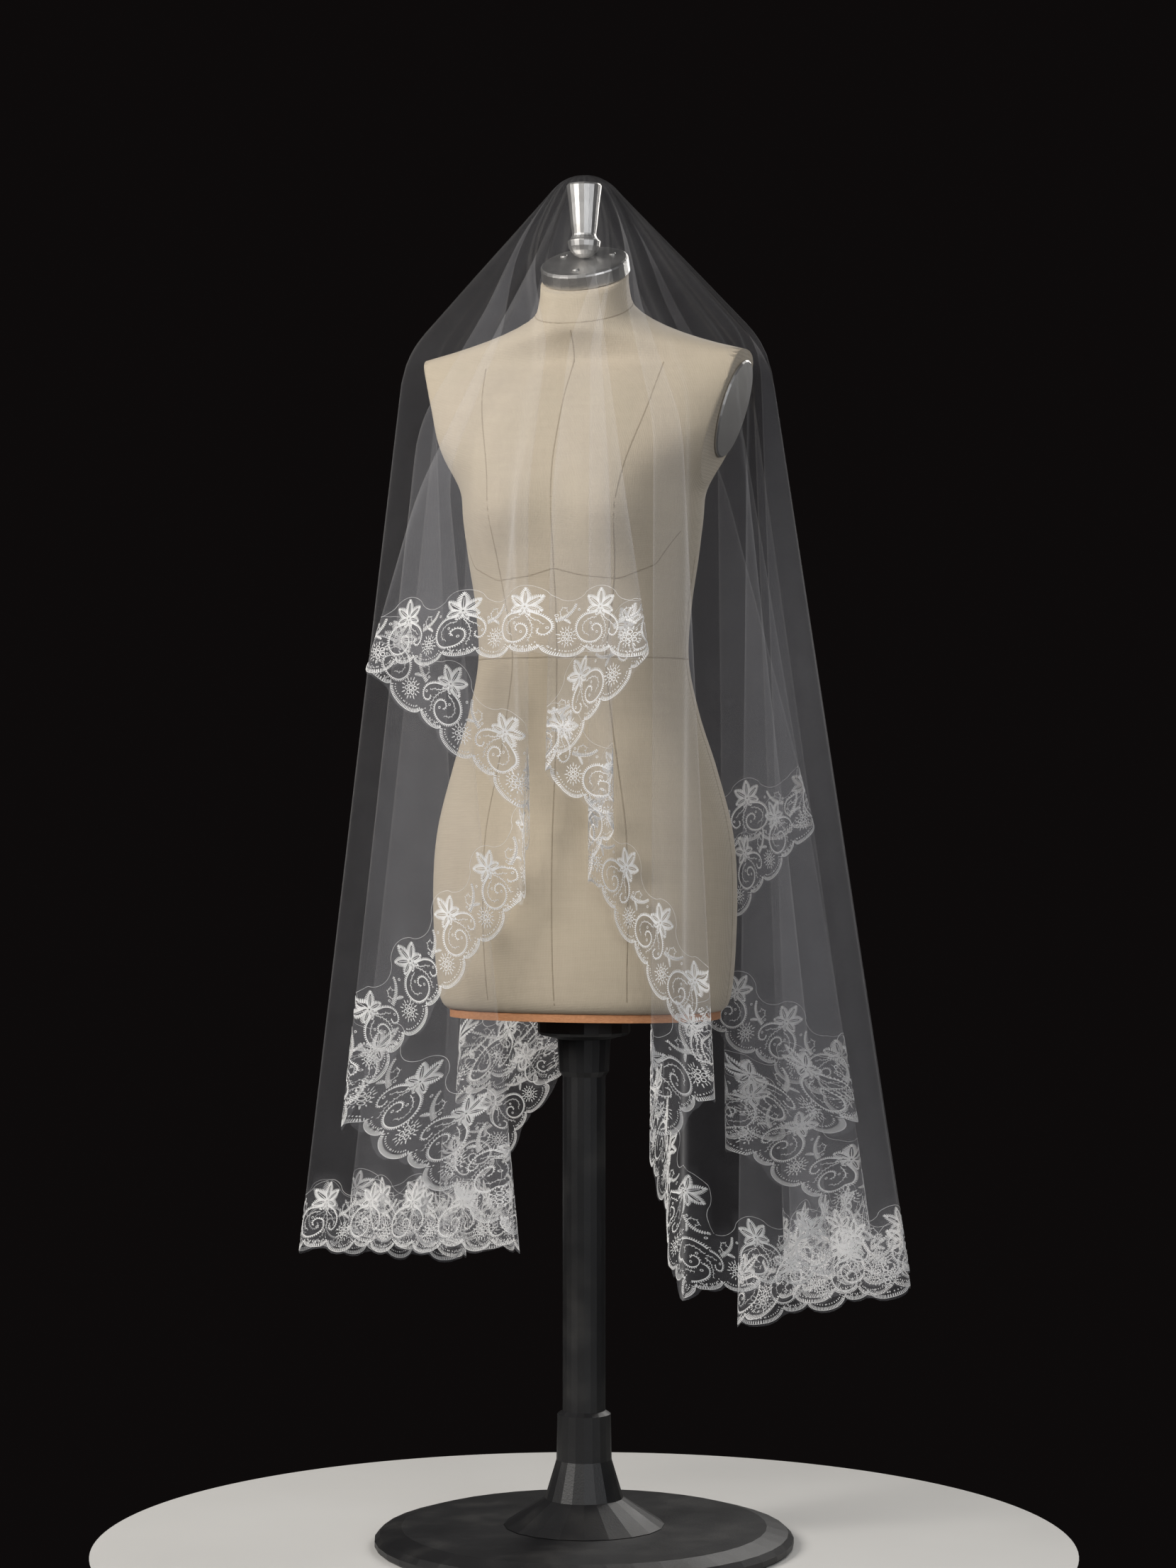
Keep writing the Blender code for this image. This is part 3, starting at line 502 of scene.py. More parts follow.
class Chart:
    """Threads of one repeat: points are along, in from the edge and off the net; faces are quads."""

    def __init__(self):
        self.points, self.faces, self.count = [], [], 0

    def ribbon(self, line, width, lift=0.45):
        """A couched thread: low at its two sides and raised along its middle."""
        line = np.asarray(line, float)
        width = np.broadcast_to(np.asarray(width, float), (len(line),))[:, None]
        square = sides(line)
        rows = [np.column_stack((line + square * width * side * 0.5, np.full(len(line), high)))
                for side, high in ((-1, 0.12), (0, lift), (1, 0.12))]
        self.add(np.stack(rows, axis=1).reshape(-1, 3), grid_faces(len(line), 3, False)[:, ::-1])

    def stitch(self, start, end, width, lift=0.40):
        """One satin stitch, pointed at its end."""
        start, end = np.array(start, float), np.array(end, float)
        self.ribbon(np.stack((start, between(start, end, 0.55), end)), (width, width, width * 0.45), lift)

    def add(self, points, faces):
        self.points.append(points)
        self.faces.append(faces + self.count)
        self.count += len(points)

    def leaf(self, base, tip, half, stitches, width=0.85, curl=0.0):
        """A leaf of slanting satin stitches on both sides of a vein, bent to one side by the curl."""
        base, tip = np.array(base, float), np.array(tip, float)
        along = tip - base
        square = np.array((-along[1], along[0])) / np.linalg.norm(along)
        share = np.linspace(0, 1, 9)[:, None]
        vein = base + along * share + square * curl * np.sin(math.pi * share)
        self.ribbon(vein, np.interp(share[:, 0], (0, 1), (0.9, 0.4)), 0.60)
        for k in range(stitches):
            part = (k + 0.4) / stitches
            root = np.array([np.interp(part, share[:, 0], vein[:, i]) for i in (0, 1)])
            reach = min(1.0, part + 0.20)
            out = half * math.sin(math.pi * min(1.0, 0.10 + 0.90 * part) ** 0.85)
            head = np.array([np.interp(reach, share[:, 0], vein[:, i]) for i in (0, 1)])
            for side in (-1, 1):
                self.stitch(root + square * side * 0.25, head + square * side * max(out, 0.5), width)

    def lobe(self, base, tip, half, stitches):
        """An open leaf: satin stitches slant out over its outline, and a vein runs up its middle."""
        along = tip - base
        square = np.array((-along[1], along[0])) / np.linalg.norm(along)
        self.ribbon(np.stack((base, between(base, tip, 0.75))), (0.9, 0.5), 0.5)
        for k in range(stitches):
            part = (k + 0.5) / stitches
            out = half * math.sin(math.pi * part**0.85) ** 0.8
            for side in (-1, 1):
                root = base + along * (part - 0.03) + square * side * out * 0.30
                self.stitch(root, base + along * (part + 0.12) + square * side * (out + 0.5), 1.15)
        self.stitch(between(base, tip, 0.86), between(base, tip, 1.10), 1.2)

    def comb(self, line, side, tooth, step=1.9):
        """A couched stem with satin teeth along one side, shorter towards its end."""
        self.ribbon(line, np.linspace(1.35, 0.90, len(line)), 0.5)
        square = sides(line) * side
        lengths = np.concatenate(([0], np.cumsum(np.linalg.norm(np.diff(line, axis=0), axis=1))))
        for at in np.arange(step / 2, lengths[-1], step):
            root, out = [np.array([np.interp(at, lengths, rows[:, i]) for i in (0, 1)]) for rows in (line, square)]
            self.stitch(root + out * 0.4, root + out * tooth * (1.05 - 0.45 * at / lengths[-1]), 1.15)

    def thorny(self, line, step=2.3, thorn=1.5):
        """A thin twig with short thorns to both sides by turns."""
        self.ribbon(line, np.linspace(0.75, 0.50, len(line)))
        square = sides(line)
        lengths = np.concatenate(([0], np.cumsum(np.linalg.norm(np.diff(line, axis=0), axis=1))))
        for k, at in enumerate(np.arange(step, lengths[-1], step)):
            i = int(np.searchsorted(lengths, at))
            ahead = line[min(i + 1, len(line) - 1)] - line[i - 1]
            ahead = ahead / np.linalg.norm(ahead)
            self.stitch(line[i], line[i] + (square[i] * (-1) ** k + ahead * 0.6) * thorn, 0.55)

    def ring(self, middle, radius, width=0.75, sides_count=14):
        turn = np.linspace(0, 2 * math.pi, sides_count + 1)
        self.ribbon(np.column_stack((middle[0] + radius * np.cos(turn), middle[1] + radius * np.sin(turn))), width)


def chart_repeat():
    chart = Chart()
    heart = np.array((38.0, 57.0))
    for turn, length, half in ((90, 19.0, 5.2), (36, 18.5, 5.0), (144, 18.5, 5.0), (-16, 15.5, 4.6), (196, 15.5, 4.6),
                               (-62, 10.0, 3.2), (242, 10.0, 3.2)):
        angle = math.radians(turn)
        ray = np.array((math.cos(angle), math.sin(angle)))
        chart.lobe(heart + ray * 1.5, heart + ray * length, half, round(length / 1.75))
    chart.ring(heart, 1.3, 0.9, 10)
    big = spline(((35.5, 52.0), (30.0, 50.5), (20.5, 48.0), (13.0, 41.0), (11.5, 31.5), (16.5, 23.0), (26.0, 19.5),
                  (35.5, 21.5), (41.0, 28.0), (40.0, 35.5), (34.0, 38.5), (29.5, 35.0), (31.5, 31.0)), 1.5)
    chart.comb(big, -1, 2.7)
    small = spline(((40.5, 52.5), (46.5, 50.0), (54.0, 46.5), (60.0, 40.0), (61.0, 32.5), (56.5, 27.0), (51.0, 29.0),
                    (51.5, 34.0)), 1.5)
    chart.comb(small, 1, 2.4)
    chart.thorny(spline(((34.0, 46.0), (27.0, 44.5), (20.5, 40.5), (18.0, 34.5), (20.5, 29.0), (25.5, 27.0)), 1.2))
    chart.thorny(spline(((41.0, 49.0), (46.0, 44.0), (51.0, 41.5), (55.0, 37.5)), 1.2))
    chart.thorny(spline(((39.0, 48.0), (43.5, 42.0), (46.0, 34.5), (45.5, 27.0), (42.5, 20.5)), 1.2), 2.2, 2.0)
    wing = spline(((-13.0, 41.5), (-6.0, 43.5), (1.0, 47.5), (6.5, 53.0), (10.0, 60.0)), 1.5)
    chart.comb(wing, 1, 3.0)
    chart.comb(wing, -1, 2.2)
    chart.thorny(spline(((-6.0, 44.0), (-9.5, 49.0), (-7.0, 54.5), (-2.0, 55.0), (-1.0, 51.0)), 1.2), 2.4, 1.8)
    chart.leaf((-5.0, 42.5), (4.0, 38.5), 2.0, 6, 0.7, 0.8)
    middle = np.array((0.0, 24.5))
    chart.ring(middle, 2.1, 1.05)
    for k in range(6):
        angle = 2 * math.pi * (k + 0.5) / 6
        chart.ring(middle + 5.2 * np.array((math.cos(angle), math.sin(angle))), 1.9, 0.95, 10)
    for k in range(16):
        angle = 2 * math.pi * (k + 0.5) / 16
        ray = np.array((math.cos(angle), math.sin(angle)))
        chart.stitch(middle + ray * 8.0, middle + ray * (12.0 if k % 2 else 10.6), 1.1)
    for x, y in ((24.0, 14.8), (31.0, 13.6), (38.0, 12.8), (45.0, 13.6), (52.0, 14.8), (13.0, 53.5), (63.5, 47.0),
                 (-18.0, 34.0), (27.5, 39.5), (35.5, 30.0)):
        chart.ring((x, y), 1.15, 0.70, 8)
    along = np.linspace(0, REPEAT_MM, 600)
    edge = np.column_stack((along, scallop(along / REPEAT_MM) * 1000))
    walk = np.concatenate(([0], np.cumsum(np.linalg.norm(np.diff(edge, axis=0), axis=1))))

    def edge_at(distances, inwards):
        line = np.column_stack([np.interp(distances, walk, edge[:, i]) for i in (0, 1)])
        return line + sides(line) * inwards

    even = np.linspace(0, walk[-1], round(walk[-1] / 1.9) + 1)
    chart.ribbon(edge_at(even, 0.2), 0.55, 0.4)
    for near, far, each in ((0.4, 3.9, 1), (5.4, 7.0, 2)):
        for a, b in zip(edge_at(even, near)[:-1:each], edge_at(even, far)[:-1:each]):
            chart.stitch(a, b, 1.05, 0.42)
    top = np.linspace(0, REPEAT_MM, 61)
    chart.ribbon(np.column_stack((top, inner_edge(top / REPEAT_MM))), 0.30, 0.25)
    return np.vstack(chart.points), np.vstack(chart.faces)


def edging_place(name, along, inwards):
    """A place on the flat cut for one along this edging and in from the cut edge."""
    return {
        "lace_front": (along - LEFT_REACH, FRONT_DROP - inwards),
        "lace_right": (RIGHT_REACH - inwards, FRONT_DROP - along),
        "lace_back": (RIGHT_REACH - along, inwards - BACK_DROP),
        "lace_left": (inwards - LEFT_REACH, along - BACK_DROP),
    }[name]


def repeat_tree(material):
    """A tree that sets one repeat in a row: Count copies, each Spacing after the last and stretched along by Stretch."""
    tree = bpy.data.node_groups.new("lace_row", "GeometryNodeTree")
    sockets = {"Geometry": "NodeSocketGeometry", "Count": "NodeSocketInt", "Spacing": "NodeSocketVector",
               "Stretch": "NodeSocketVector", "Material": "NodeSocketMaterial"}
    for name, kind in sockets.items():
        tree.interface.new_socket(name=name, in_out="INPUT", socket_type=kind)
    tree.interface.new_socket(name="Geometry", in_out="OUTPUT", socket_type="NodeSocketGeometry")
    kinds = ("NodeGroupInput", "GeometryNodeMeshLine", "GeometryNodeInstanceOnPoints", "GeometryNodeRealizeInstances",
             "GeometryNodeSetMaterial", "NodeGroupOutput")
    given, line, copies, real, wearing, out = [tree.nodes.new(kind) for kind in kinds]
    for start, end in ((given.outputs["Count"], line.inputs["Count"]), (given.outputs["Spacing"], line.inputs["Offset"]),
                       (line.outputs["Mesh"], copies.inputs["Points"]),
                       (given.outputs["Geometry"], copies.inputs["Instance"]),
                       (given.outputs["Stretch"], copies.inputs["Scale"]),
                       (copies.outputs["Instances"], real.inputs["Geometry"]),
                       (real.outputs["Geometry"], wearing.inputs["Geometry"]),
                       (given.outputs["Material"], wearing.inputs["Material"]),
                       (wearing.outputs["Geometry"], out.inputs["Geometry"])):
        tree.links.new(start, end)
    return tree


def lay_row(name, points, faces, count, length, material):
    """The flat repeat copied count + 1 times along an edging of this length: its points and quads."""
    row = add_piece(name, points / (1000, 1000, 1000), faces)
    modifier = row.modifiers.new("lace_row", "NODES")
    modifier.node_group = repeat_tree(material)
    inputs = {item.name: item.identifier for item in modifier.node_group.interface.items_tree if item.in_out == "INPUT"}
    step = length / count
    modifier[inputs["Count"]] = count + 1
    modifier[inputs["Spacing"]] = (step, 0.0, 0.0)
    modifier[inputs["Stretch"]] = (step * 1000 / REPEAT_MM, 1.0, 1.0)
    modifier[inputs["Material"]] = material
    apply_modifiers(row)
    mesh = row.data
    laid = np.empty(len(mesh.vertices) * 3)
    mesh.vertices.foreach_get("co", laid)
    quads = np.empty(len(mesh.loops), dtype=int)
    mesh.loops.foreach_get("vertex_index", quads)
    bpy.data.objects.remove(row)
    return laid.reshape(-1, 3), quads.reshape(-1, 4)


def make_embroidery(name, points, faces, material):
    """The row of repeats along one edging, cut off at the mitred corners and laid on the hanging net."""
    length = END_LENGTH if name in ("lace_front", "lace_back") else SIDE_LENGTH
    laid, quads = lay_row("row_" + name[5:], points, faces, REPEATS[name], length, material)
    along, inwards, lift = laid.T
    corner_room = np.minimum(along, length - along) - inwards
    quads = quads[(corner_room[quads] >= 0).all(axis=1)]
    used, place = np.unique(quads, return_inverse=True)
    across, ahead = edging_place(name, along[used], inwards[used])
    return add_piece("embroidery_" + name[5:], on_cloth(across, ahead, lift[used]), place.reshape(-1, 4))


# ---- the dress form ----
def torso_section(height):
    section = [np.interp(height, FORM_ROWS[:, 0], FORM_ROWS[:, column]) for column in range(1, 5)]
    section[0] = section[0] - UNDER_ARM_DIP * np.exp(-((height - UNDER_ARM_HEIGHT) / UNDER_ARM_SPREAD) ** 2)
    return section


def smooth_rows(table, step):
    """The table's rows joined by smooth curves, with rows at about this step of height."""
    rows = []
    for i in range(len(table) - 1):
        before = table[max(i - 1, 0)]
        after = table[min(i + 2, len(table) - 1)]
        start, end = table[i], table[i + 1]
        rise = end[0] - start[0]
        lead = (end - before) / max(end[0] - before[0], 1e-6) * rise
        tail = (after - start) / max(after[0] - start[0], 1e-6) * rise
        count = max(2, round(rise / step))
        for k in range(count):
            t = k / count
            row = (start * (2 * t**3 - 3 * t**2 + 1) + lead * (t**3 - 2 * t**2 + t)
                   + end * (3 * t**2 - 2 * t**3) + tail * (t**3 - t**2))
            row[0] = start[0] + rise * t
            rows.append(row)
    rows.append(table[-1])
    return np.array(rows)


FORM_ROWS = smooth_rows(TORSO, 0.006)


def torso_points(turns, heights):
    """Points on the form's skin at angles counted from the front centre to the viewer's right."""
    turns, heights = np.broadcast_arrays(turns, heights)
    half_width, front, back, slope = torso_section(heights)
    side, ahead = np.sin(turns), -np.cos(turns)
    depth = np.where(ahead < 0, front, back)
    x = half_width * np.sign(side) * np.abs(side) ** 0.90
    y = depth * np.sign(ahead) * np.abs(ahead) ** 0.90
    near_bust = np.exp(-((heights - 1.150) / 0.045) ** 2)
    lobe = np.exp(-((np.abs(x) - BUST_SPREAD) / 0.040) ** 2)
    y = y - BUST_RISE * near_bust * (lobe - 0.45) * np.maximum(0.0, -ahead)
    return np.stack((x, y, heights + slope * y), axis=-1)


def torso_normals(turns, heights):
    step = 0.004
    around = torso_points(turns + step, heights) - torso_points(turns - step, heights)
    up = torso_points(turns, heights + step / 2) - torso_points(turns, heights - step / 2)
    normals = np.cross(around, up)
    return normals / np.maximum(np.linalg.norm(normals, axis=-1, keepdims=True), 1e-12)


def turn_at(x, height, front):
    """The angle at which the skin is this far to the side."""
    half_width = float(torso_section(height)[0])
    share = min(1.0, (abs(x) / half_width) ** (1 / 0.90))
    turn = math.asin(share)
    turn = turn if front else math.pi - turn
    return math.copysign(turn, x)


def seam_strip(turns, heights, width):
    """A pressed seam on the form: two rounded edges with a groove between them."""
    turns, heights = np.asarray(turns, float), np.asarray(heights, float)
    middle = torso_points(turns, heights)
    normals = torso_normals(turns, heights)
    along = np.gradient(middle, axis=0)
    across = np.cross(normals, along)
    across /= np.maximum(np.linalg.norm(across, axis=-1, keepdims=True), 1e-12)
    profile = ((-1.0, -0.0003), (-0.7, 0.0001), (-0.2, 0.0002), (0.0, 0.0), (0.2, 0.0002), (0.7, 0.0001), (1.0, -0.0003))
    rows = [middle + across * width * side + normals * lift for side, lift in profile]
    points = np.stack(rows, axis=1)
    count = len(turns)
    return points.reshape(-1, 3), grid_faces(count, len(profile), False)[:, ::-1]


def make_form():
    turns = np.linspace(0, 2 * math.pi, FORM_STEPS, endpoint=False)
    points = torso_points(turns[None, :], FORM_ROWS[:, 0][:, None])
    form = add_piece("linen_form", points.reshape(-1, 3), grid_faces(len(FORM_ROWS), FORM_STEPS, True)[:, ::-1])
    bm = bmesh.new()
    bm.from_mesh(form.data)
    bm.verts.ensure_lookup_table()
    bm.faces.new([bm.verts[i] for i in range(FORM_STEPS)]).smooth = False
    start = (len(FORM_ROWS) - 1) * FORM_STEPS
    bm.faces.new([bm.verts[start + i] for i in reversed(range(FORM_STEPS))]).smooth = False
    bmesh.ops.recalc_face_normals(bm, faces=bm.faces)
    bm.to_mesh(form.data)
    bm.free()
    for side in (1, -1):
        cutter = box_piece("arm_cut", (0.10, 0.30, 0.185), (0.05, 0.0, 0.0))
        cutter.data.transform(Matrix.Rotation(ARM_PLATE_TILT, 4, "Y"))
        cutter.data.transform(Matrix.Translation(ARM_CUT))
        if side < 0:
            cutter.data.transform(Matrix.Diagonal((-1, 1, 1, 1)))
            cutter.data.flip_normals()
        cut = form.modifiers.new("armhole", "BOOLEAN")
        cut.operation = "DIFFERENCE"
        cut.solver = "EXACT"
        cut.object = cutter
        apply_modifiers(form)
        bpy.data.objects.remove(cutter)
    return form


def apply_modifiers(piece):
    graph = bpy.context.evaluated_depsgraph_get()
    graph.update()
    mesh = bpy.data.meshes.new_from_object(piece.evaluated_get(graph))
    piece.modifiers.clear()
    piece.data = mesh


def box_piece(name, size, middle):
    bm = bmesh.new()
    bmesh.ops.create_cube(bm, size=1.0)
    bmesh.ops.scale(bm, vec=size, verts=bm.verts)
    bmesh.ops.translate(bm, vec=middle, verts=bm.verts)
    mesh = bpy.data.meshes.new(name)
    bm.to_mesh(mesh)
    bm.free()
    piece = bpy.data.objects.new(name, mesh)
    bpy.context.scene.collection.objects.link(piece)
    return piece


def front_line(places):
    """Sideways places and heights along a smooth line through (x, height) places on the front of the form."""
    places = np.array(places)
    steps = np.concatenate(([0], np.cumsum(np.linalg.norm(np.diff(places, axis=0), axis=1))))
    fine = np.linspace(0, steps[-1], 70)
    x, z = np.interp(fine, steps, places[:, 0]), np.interp(fine, steps, places[:, 1])
    for _ in range(6):
        x[1:-1] = (x[:-2] + 2 * x[1:-1] + x[2:]) / 4
        z[1:-1] = (z[:-2] + 2 * z[1:-1] + z[2:]) / 4
    return x, z


def make_seams():
    points, faces, count = [], [], 0

    def add(turns, heights, width=0.0010):
        nonlocal count
        strip, quads = seam_strip(turns, heights, width)
        points.append(strip)
        faces.append(quads + count)
        count += len(strip)

    heights = np.linspace(0.604, 1.372, 120)
    add(np.zeros(120), heights)
    add(np.full(120, math.pi), heights)
    for height in (0.991, 1.384):
        add(np.linspace(0, 2 * math.pi, 161), np.full(161, height))
    for side in (1, -1):
        add(np.full(90, side * math.pi / 2), np.linspace(0.604, 1.105, 90))
        for front, line in ((True, PRINCESS_FRONT), (False, PRINCESS_BACK), (True, UNDER_BUST)):
            x, z = front_line(line)
            add([turn_at(side * a, b, front) for a, b in zip(x, z)], z)
    return add_piece("form_seams", np.vstack(points), np.vstack(faces))


# ---- materials ----
class Value:
    """A socket whose + - * / build Math nodes in its material."""

    def __init__(self, material, socket):
        self.material, self.socket = material, socket

    def math(self, operation, other=None, swap=False):
        pair = (other, self) if swap else (self, other)
        return self.material.node("ShaderNodeMath", {"operation": operation}, *pair)

    def __add__(self, other):
        return self.math("ADD", other)

    __radd__ = __add__

    def __sub__(self, other):
        return self.math("SUBTRACT", other)

    def __rsub__(self, other):
        return self.math("SUBTRACT", other, True)

    def __mul__(self, other):
        return self.math("MULTIPLY", other)

    __rmul__ = __mul__

    def __truediv__(self, other):
        return self.math("DIVIDE", other)

    def __pow__(self, other):
        return self.math("POWER", other)

    def sine(self):
        return self.math("SINE")

    def above(self, low, high):
        return self.material.node("ShaderNodeMapRange", {"interpolation_type": "SMOOTHSTEP"}, self, low, high)


class Finish:
    """A node material: constants go on the shader's own sockets and patterns are linked to them."""

    def __init__(self, name, **constants):
        self.data = bpy.data.materials.new(name)
        self.data.use_nodes = True
        self.tree = self.data.node_tree
        self.shader = self.tree.nodes["Principled BSDF"]
        for socket, value in constants.items():
            self.shader.inputs[socket.replace("_", " ")].default_value = value

    def node(self, kind, settings, *values, output=0, **named):
        made = self.tree.nodes.new(kind)
        for key, value in settings.items():
            setattr(made, key, value)
        for key, value in list(enumerate(values)) + list(named.items()):
            self.feed(made.inputs[key.replace("_", " ") if isinstance(key, str) else key], value)
        return Value(self, made.outputs[output])

    def feed(self, socket, value):
        if value is None:
            return
        if isinstance(value, Value):
            self.tree.links.new(value.socket, socket)
        else:
            socket.default_value = value

    def place(self, scale=(1, 1, 1), turn=(0, 0, 0)):
        here = self.node("ShaderNodeTexCoord", {}, output=3)
        return self.node("ShaderNodeMapping", {}, here, Rotation=turn, Scale=scale)

    def noise(self, size, detail=2.0, scale=(1, 1, 1)):
        return self.node("ShaderNodeTexNoise", {}, Vector=self.place(scale), Scale=1 / size, Detail=detail)

    def wave(self, size, axis, wobble=0.0):
        return self.node("ShaderNodeTexWave", {"bands_direction": axis}, Vector=self.place(), Scale=0.31416 / size,
                         Distortion=wobble, Detail=1.0, Detail_Scale=2.0)

    def attribute(self, name):
        return self.node("ShaderNodeAttribute", {"attribute_name": name}, output=2)

    def mix(self, share, first, second):
        """A colour between two, as the share goes from 0 to 1."""
        made = self.tree.nodes.new("ShaderNodeMix")
        made.data_type = "RGBA"
        for key, value in ((0, share), (6, first), (7, second)):
            self.feed(made.inputs[key], value)
        return Value(self, made.outputs[2])

    def bump(self, height, distance):
        self.set("Normal", self.node("ShaderNodeBump", {}, Height=height, Distance=distance))

    def set(self, socket, value):
        self.feed(self.shader.inputs[socket], value)


def shade(*values):
    return (*values, 1.0)


def net_finish():
    finish = Finish("silk_tulle", Roughness=0.62, Specular_IOR_Level=0.25)
    crease, level, ground = [finish.attribute(name) for name in ("crease", "level", "ground")]
    uneven = finish.noise(0.030, 3.0) - 0.5
    strand = finish.noise(0.0016, 1.0) - 0.5
    hanging = level.above(0.25, 0.60)
    plain = (NET_COVER + ground * LACE_GROUND_COVER) * (1 + uneven * 0.5 + strand * 0.8)
    finish.set("Alpha", plain + crease * NET_CREASE_COVER * (0.12 + hanging * 0.88))
    # Painted highlight: the net's colour runs from grey to near white along the fold tips, where the crease share is 1.
    finish.set("Base Color", finish.mix(crease, shade(0.62, 0.62, 0.66), shade(0.88, 0.87, 0.88)))
    return finish.data


def lace_finish():
    finish = Finish("silk_thread", Roughness=0.42, Sheen_Weight=0.35, Sheen_Roughness=0.4)
    tint = finish.noise(0.004, 2.0)
    finish.set("Base Color", finish.mix(tint, shade(0.94, 0.93, 0.93), shade(1.0, 0.995, 0.985)))
    finish.bump(finish.wave(0.0006, "DIAGONAL", 1.5), 0.0003)
    return finish.data


def linen_finish():
    finish = Finish("natural_linen", Roughness=0.88, Sheen_Weight=0.15)
    upright, level = finish.wave(0.0011, "Z", 0.8), finish.wave(0.0011, "X", 0.8)
    weave = (upright + level) * 0.5
    slub = finish.noise(0.006, 3.0, (1.0, 1.0, 0.12)) * 0.5 + finish.noise(0.006, 3.0, (0.12, 0.12, 1.0)) * 0.5
    wash = finish.noise(0.090, 3.0)
    tone = finish.mix(weave * 0.45 + slub * 0.55, shade(0.40, 0.333, 0.25), shade(0.61, 0.524, 0.402))
    finish.set("Base Color", finish.mix(wash.above(0.35, 0.75) * 0.35, tone, shade(0.50, 0.43, 0.315)))
    finish.set("Roughness", 0.82 + slub * 0.14)
    finish.bump(weave * 0.6 + slub * 0.4, 0.0004)
    return finish.data


def seam_finish():
    finish = Finish("linen_seam", Roughness=0.88)
    slub = finish.noise(0.005, 3.0)
    finish.set("Base Color", finish.mix(slub, shade(0.33, 0.27, 0.195), shade(0.45, 0.38, 0.28)))
    finish.bump(finish.wave(0.0011, "Z", 0.8), 0.0003)
    return finish.data


def brushed_finish(name, scale, base, rough):
    finish = Finish(name, Metallic=1.0)
    brush = finish.noise(0.0009, 3.0, scale)
    smudge = finish.noise(0.018, 3.0)
    finish.set("Base Color", finish.mix(brush * 0.6 + smudge * 0.4, shade(*[v * 0.72 for v in base]), shade(*base)))
    finish.set("Roughness", rough + brush * 0.16 + smudge * 0.10)
    finish.bump(brush, 0.00008)
    return finish.data


def board_finish():
    finish = Finish("board_edge", Roughness=0.68)
    grain = finish.noise(0.004, 4.0, (1, 1, 3))
    finish.set("Base Color", finish.mix(grain, shade(0.34, 0.13, 0.05), shade(0.62, 0.30, 0.14)))
    finish.bump(grain, 0.0004)
    return finish.data


def black_finish():
    finish = Finish("black_enamel", Roughness=0.42)
    peel, dust = finish.noise(0.0022, 2.0), finish.noise(0.05, 4.0)
    finish.set("Base Color", finish.mix(dust.above(0.45, 0.8), shade(0.010, 0.010, 0.011), shade(0.026, 0.025, 0.024)))
    finish.set("Roughness", 0.36 + dust * 0.22)
    finish.bump(peel, 0.00015)
    return finish.data


def floor_finish():
    finish = Finish("pale_floor", Roughness=0.75)
    cloud = finish.noise(0.35, 3.0)
    finish.set("Base Color", finish.mix(cloud, shade(0.60, 0.59, 0.57), shade(0.68, 0.67, 0.65)))
    return finish.data


def wear(piece, material):
    piece.data.materials.clear()
    piece.data.materials.append(material)


# ---- the studio ----
def make_floor():
    bm = bmesh.new()
    bmesh.ops.create_circle(bm, cap_ends=True, segments=160, radius=FLOOR_RADIUS)
    bmesh.ops.translate(bm, vec=(0, 0, -0.0005), verts=bm.verts)
    mesh = bpy.data.meshes.new("floor")
    bm.to_mesh(mesh)
    bm.free()
    floor = bpy.data.objects.new("floor", mesh)
    bpy.context.scene.collection.objects.link(floor)
    wear(floor, floor_finish())


def add_light(name, place, target, size, power, colour):
    light = bpy.data.lights.new(name, "AREA")
    light.shape, light.size, light.energy, light.color = "DISK", size, power, colour
    lamp = bpy.data.objects.new(name, light)
    lamp.location = place
    lamp.rotation_euler = (Vector(target) - Vector(place)).to_track_quat("-Z", "Y").to_euler()
    bpy.context.scene.collection.objects.link(lamp)


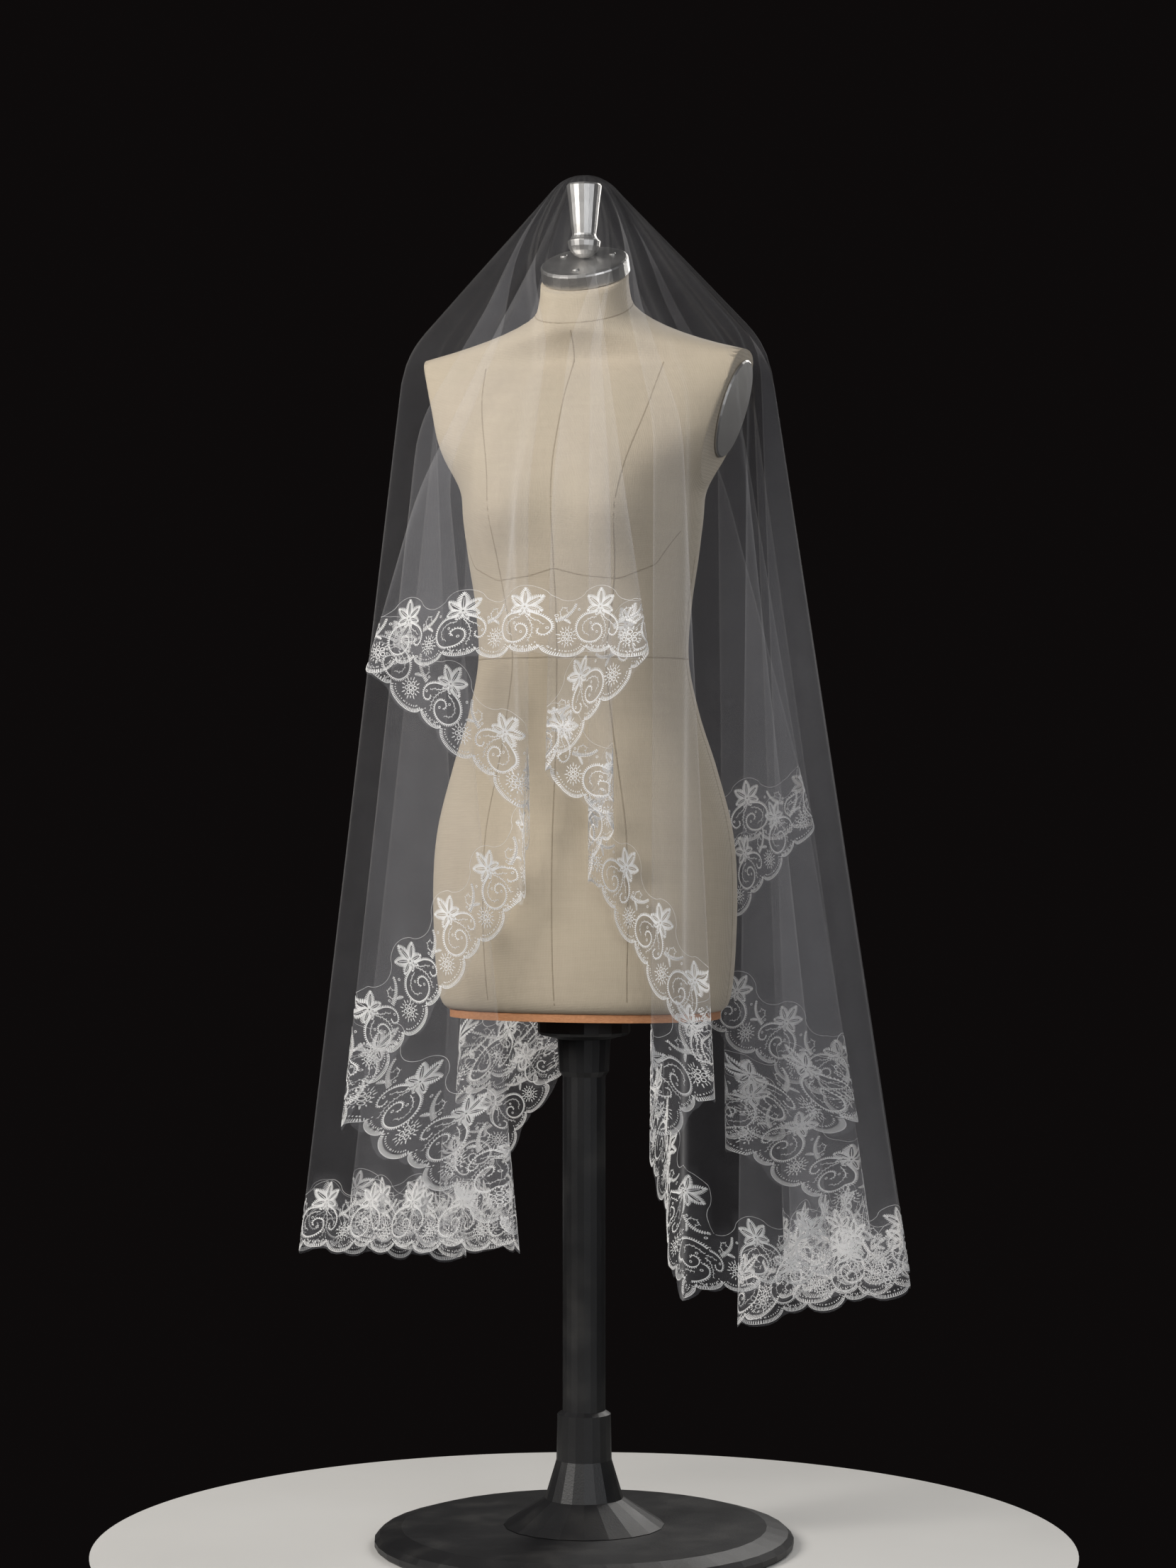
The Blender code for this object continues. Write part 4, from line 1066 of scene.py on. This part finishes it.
def make_studio():
    make_floor()
    add_light("front_card", (0.1, -3.4, 2.9), (0, 0, 1.3), 2.6, 32, (1.0, 0.99, 0.97))
    add_light("key", (-2.4, -2.6, 2.6), (0, 0, 1.0), 1.8, 150, (1.0, 0.97, 0.93))
    add_light("fill", (2.8, -2.2, 1.7), (0, 0, 0.8), 2.4, 46, (0.95, 0.97, 1.0))
    add_light("back", (0.6, 2.6, 2.3), (0, 0, 0.9), 2.0, 42, (1.0, 0.98, 0.95))
    world = bpy.data.worlds.new("dim_studio")
    world.use_nodes = True
    world.node_tree.nodes["Background"].inputs["Color"].default_value = shade(0.0042, 0.0034, 0.0034)
    bpy.context.scene.world = world
    camera = bpy.data.cameras.new("camera")
    camera.sensor_fit = "VERTICAL"
    camera.sensor_height = 24.0
    camera.lens = 12.0 / math.tan(math.radians(VIEW_HEIGHT) / 2)
    eye = bpy.data.objects.new("camera", camera)
    turn = math.radians(VIEW_TURN)
    eye.location = (VIEW_DISTANCE * math.sin(turn), -VIEW_DISTANCE * math.cos(turn), VIEW_LEVEL)
    aim = Vector((VIEW_ASIDE * math.cos(turn), VIEW_ASIDE * math.sin(turn), VIEW_LEVEL))
    eye.rotation_euler = (aim - eye.location).to_track_quat("-Z", "Y").to_euler()
    bpy.context.scene.collection.objects.link(eye)
    bpy.context.scene.camera = eye
    bpy.context.scene.cycles.transparent_max_bounces = 48
    bpy.context.scene.view_settings.view_transform = "Standard"


def main():
    net = make_net()
    wear(net, net_finish())
    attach(net, "root")
    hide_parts("tulle")
    form = make_form()
    wear(form, linen_finish())
    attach(form, "root")
    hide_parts("form_torso")
    seams = make_seams()
    wear(seams, seam_finish())
    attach(seams, "root")
    chart = chart_repeat()
    thread = lace_finish()
    edgings = [make_embroidery(name, *chart, thread) for name in LACE_PIECES]
    for name, edging in zip(LACE_PIECES, edgings):
        wear(edging, thread)
        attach(edging, "root")
        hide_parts(name)
    metal = brushed_finish("brushed_steel", (1, 1, 0.06), (0.66, 0.65, 0.635), 0.30)
    for name in ("neck_knob", "neck_plate", "arm_plate_left", "arm_plate_right"):
        wear(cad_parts[name], metal)
    for name in ("plate_screw_1", "plate_screw_2", "plate_screw_3"):
        wear(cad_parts[name], metal)
    wear(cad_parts["bottom_board"], board_finish())
    for name in ("pole", "base"):
        wear(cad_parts[name], black_finish())
    make_studio()


main()
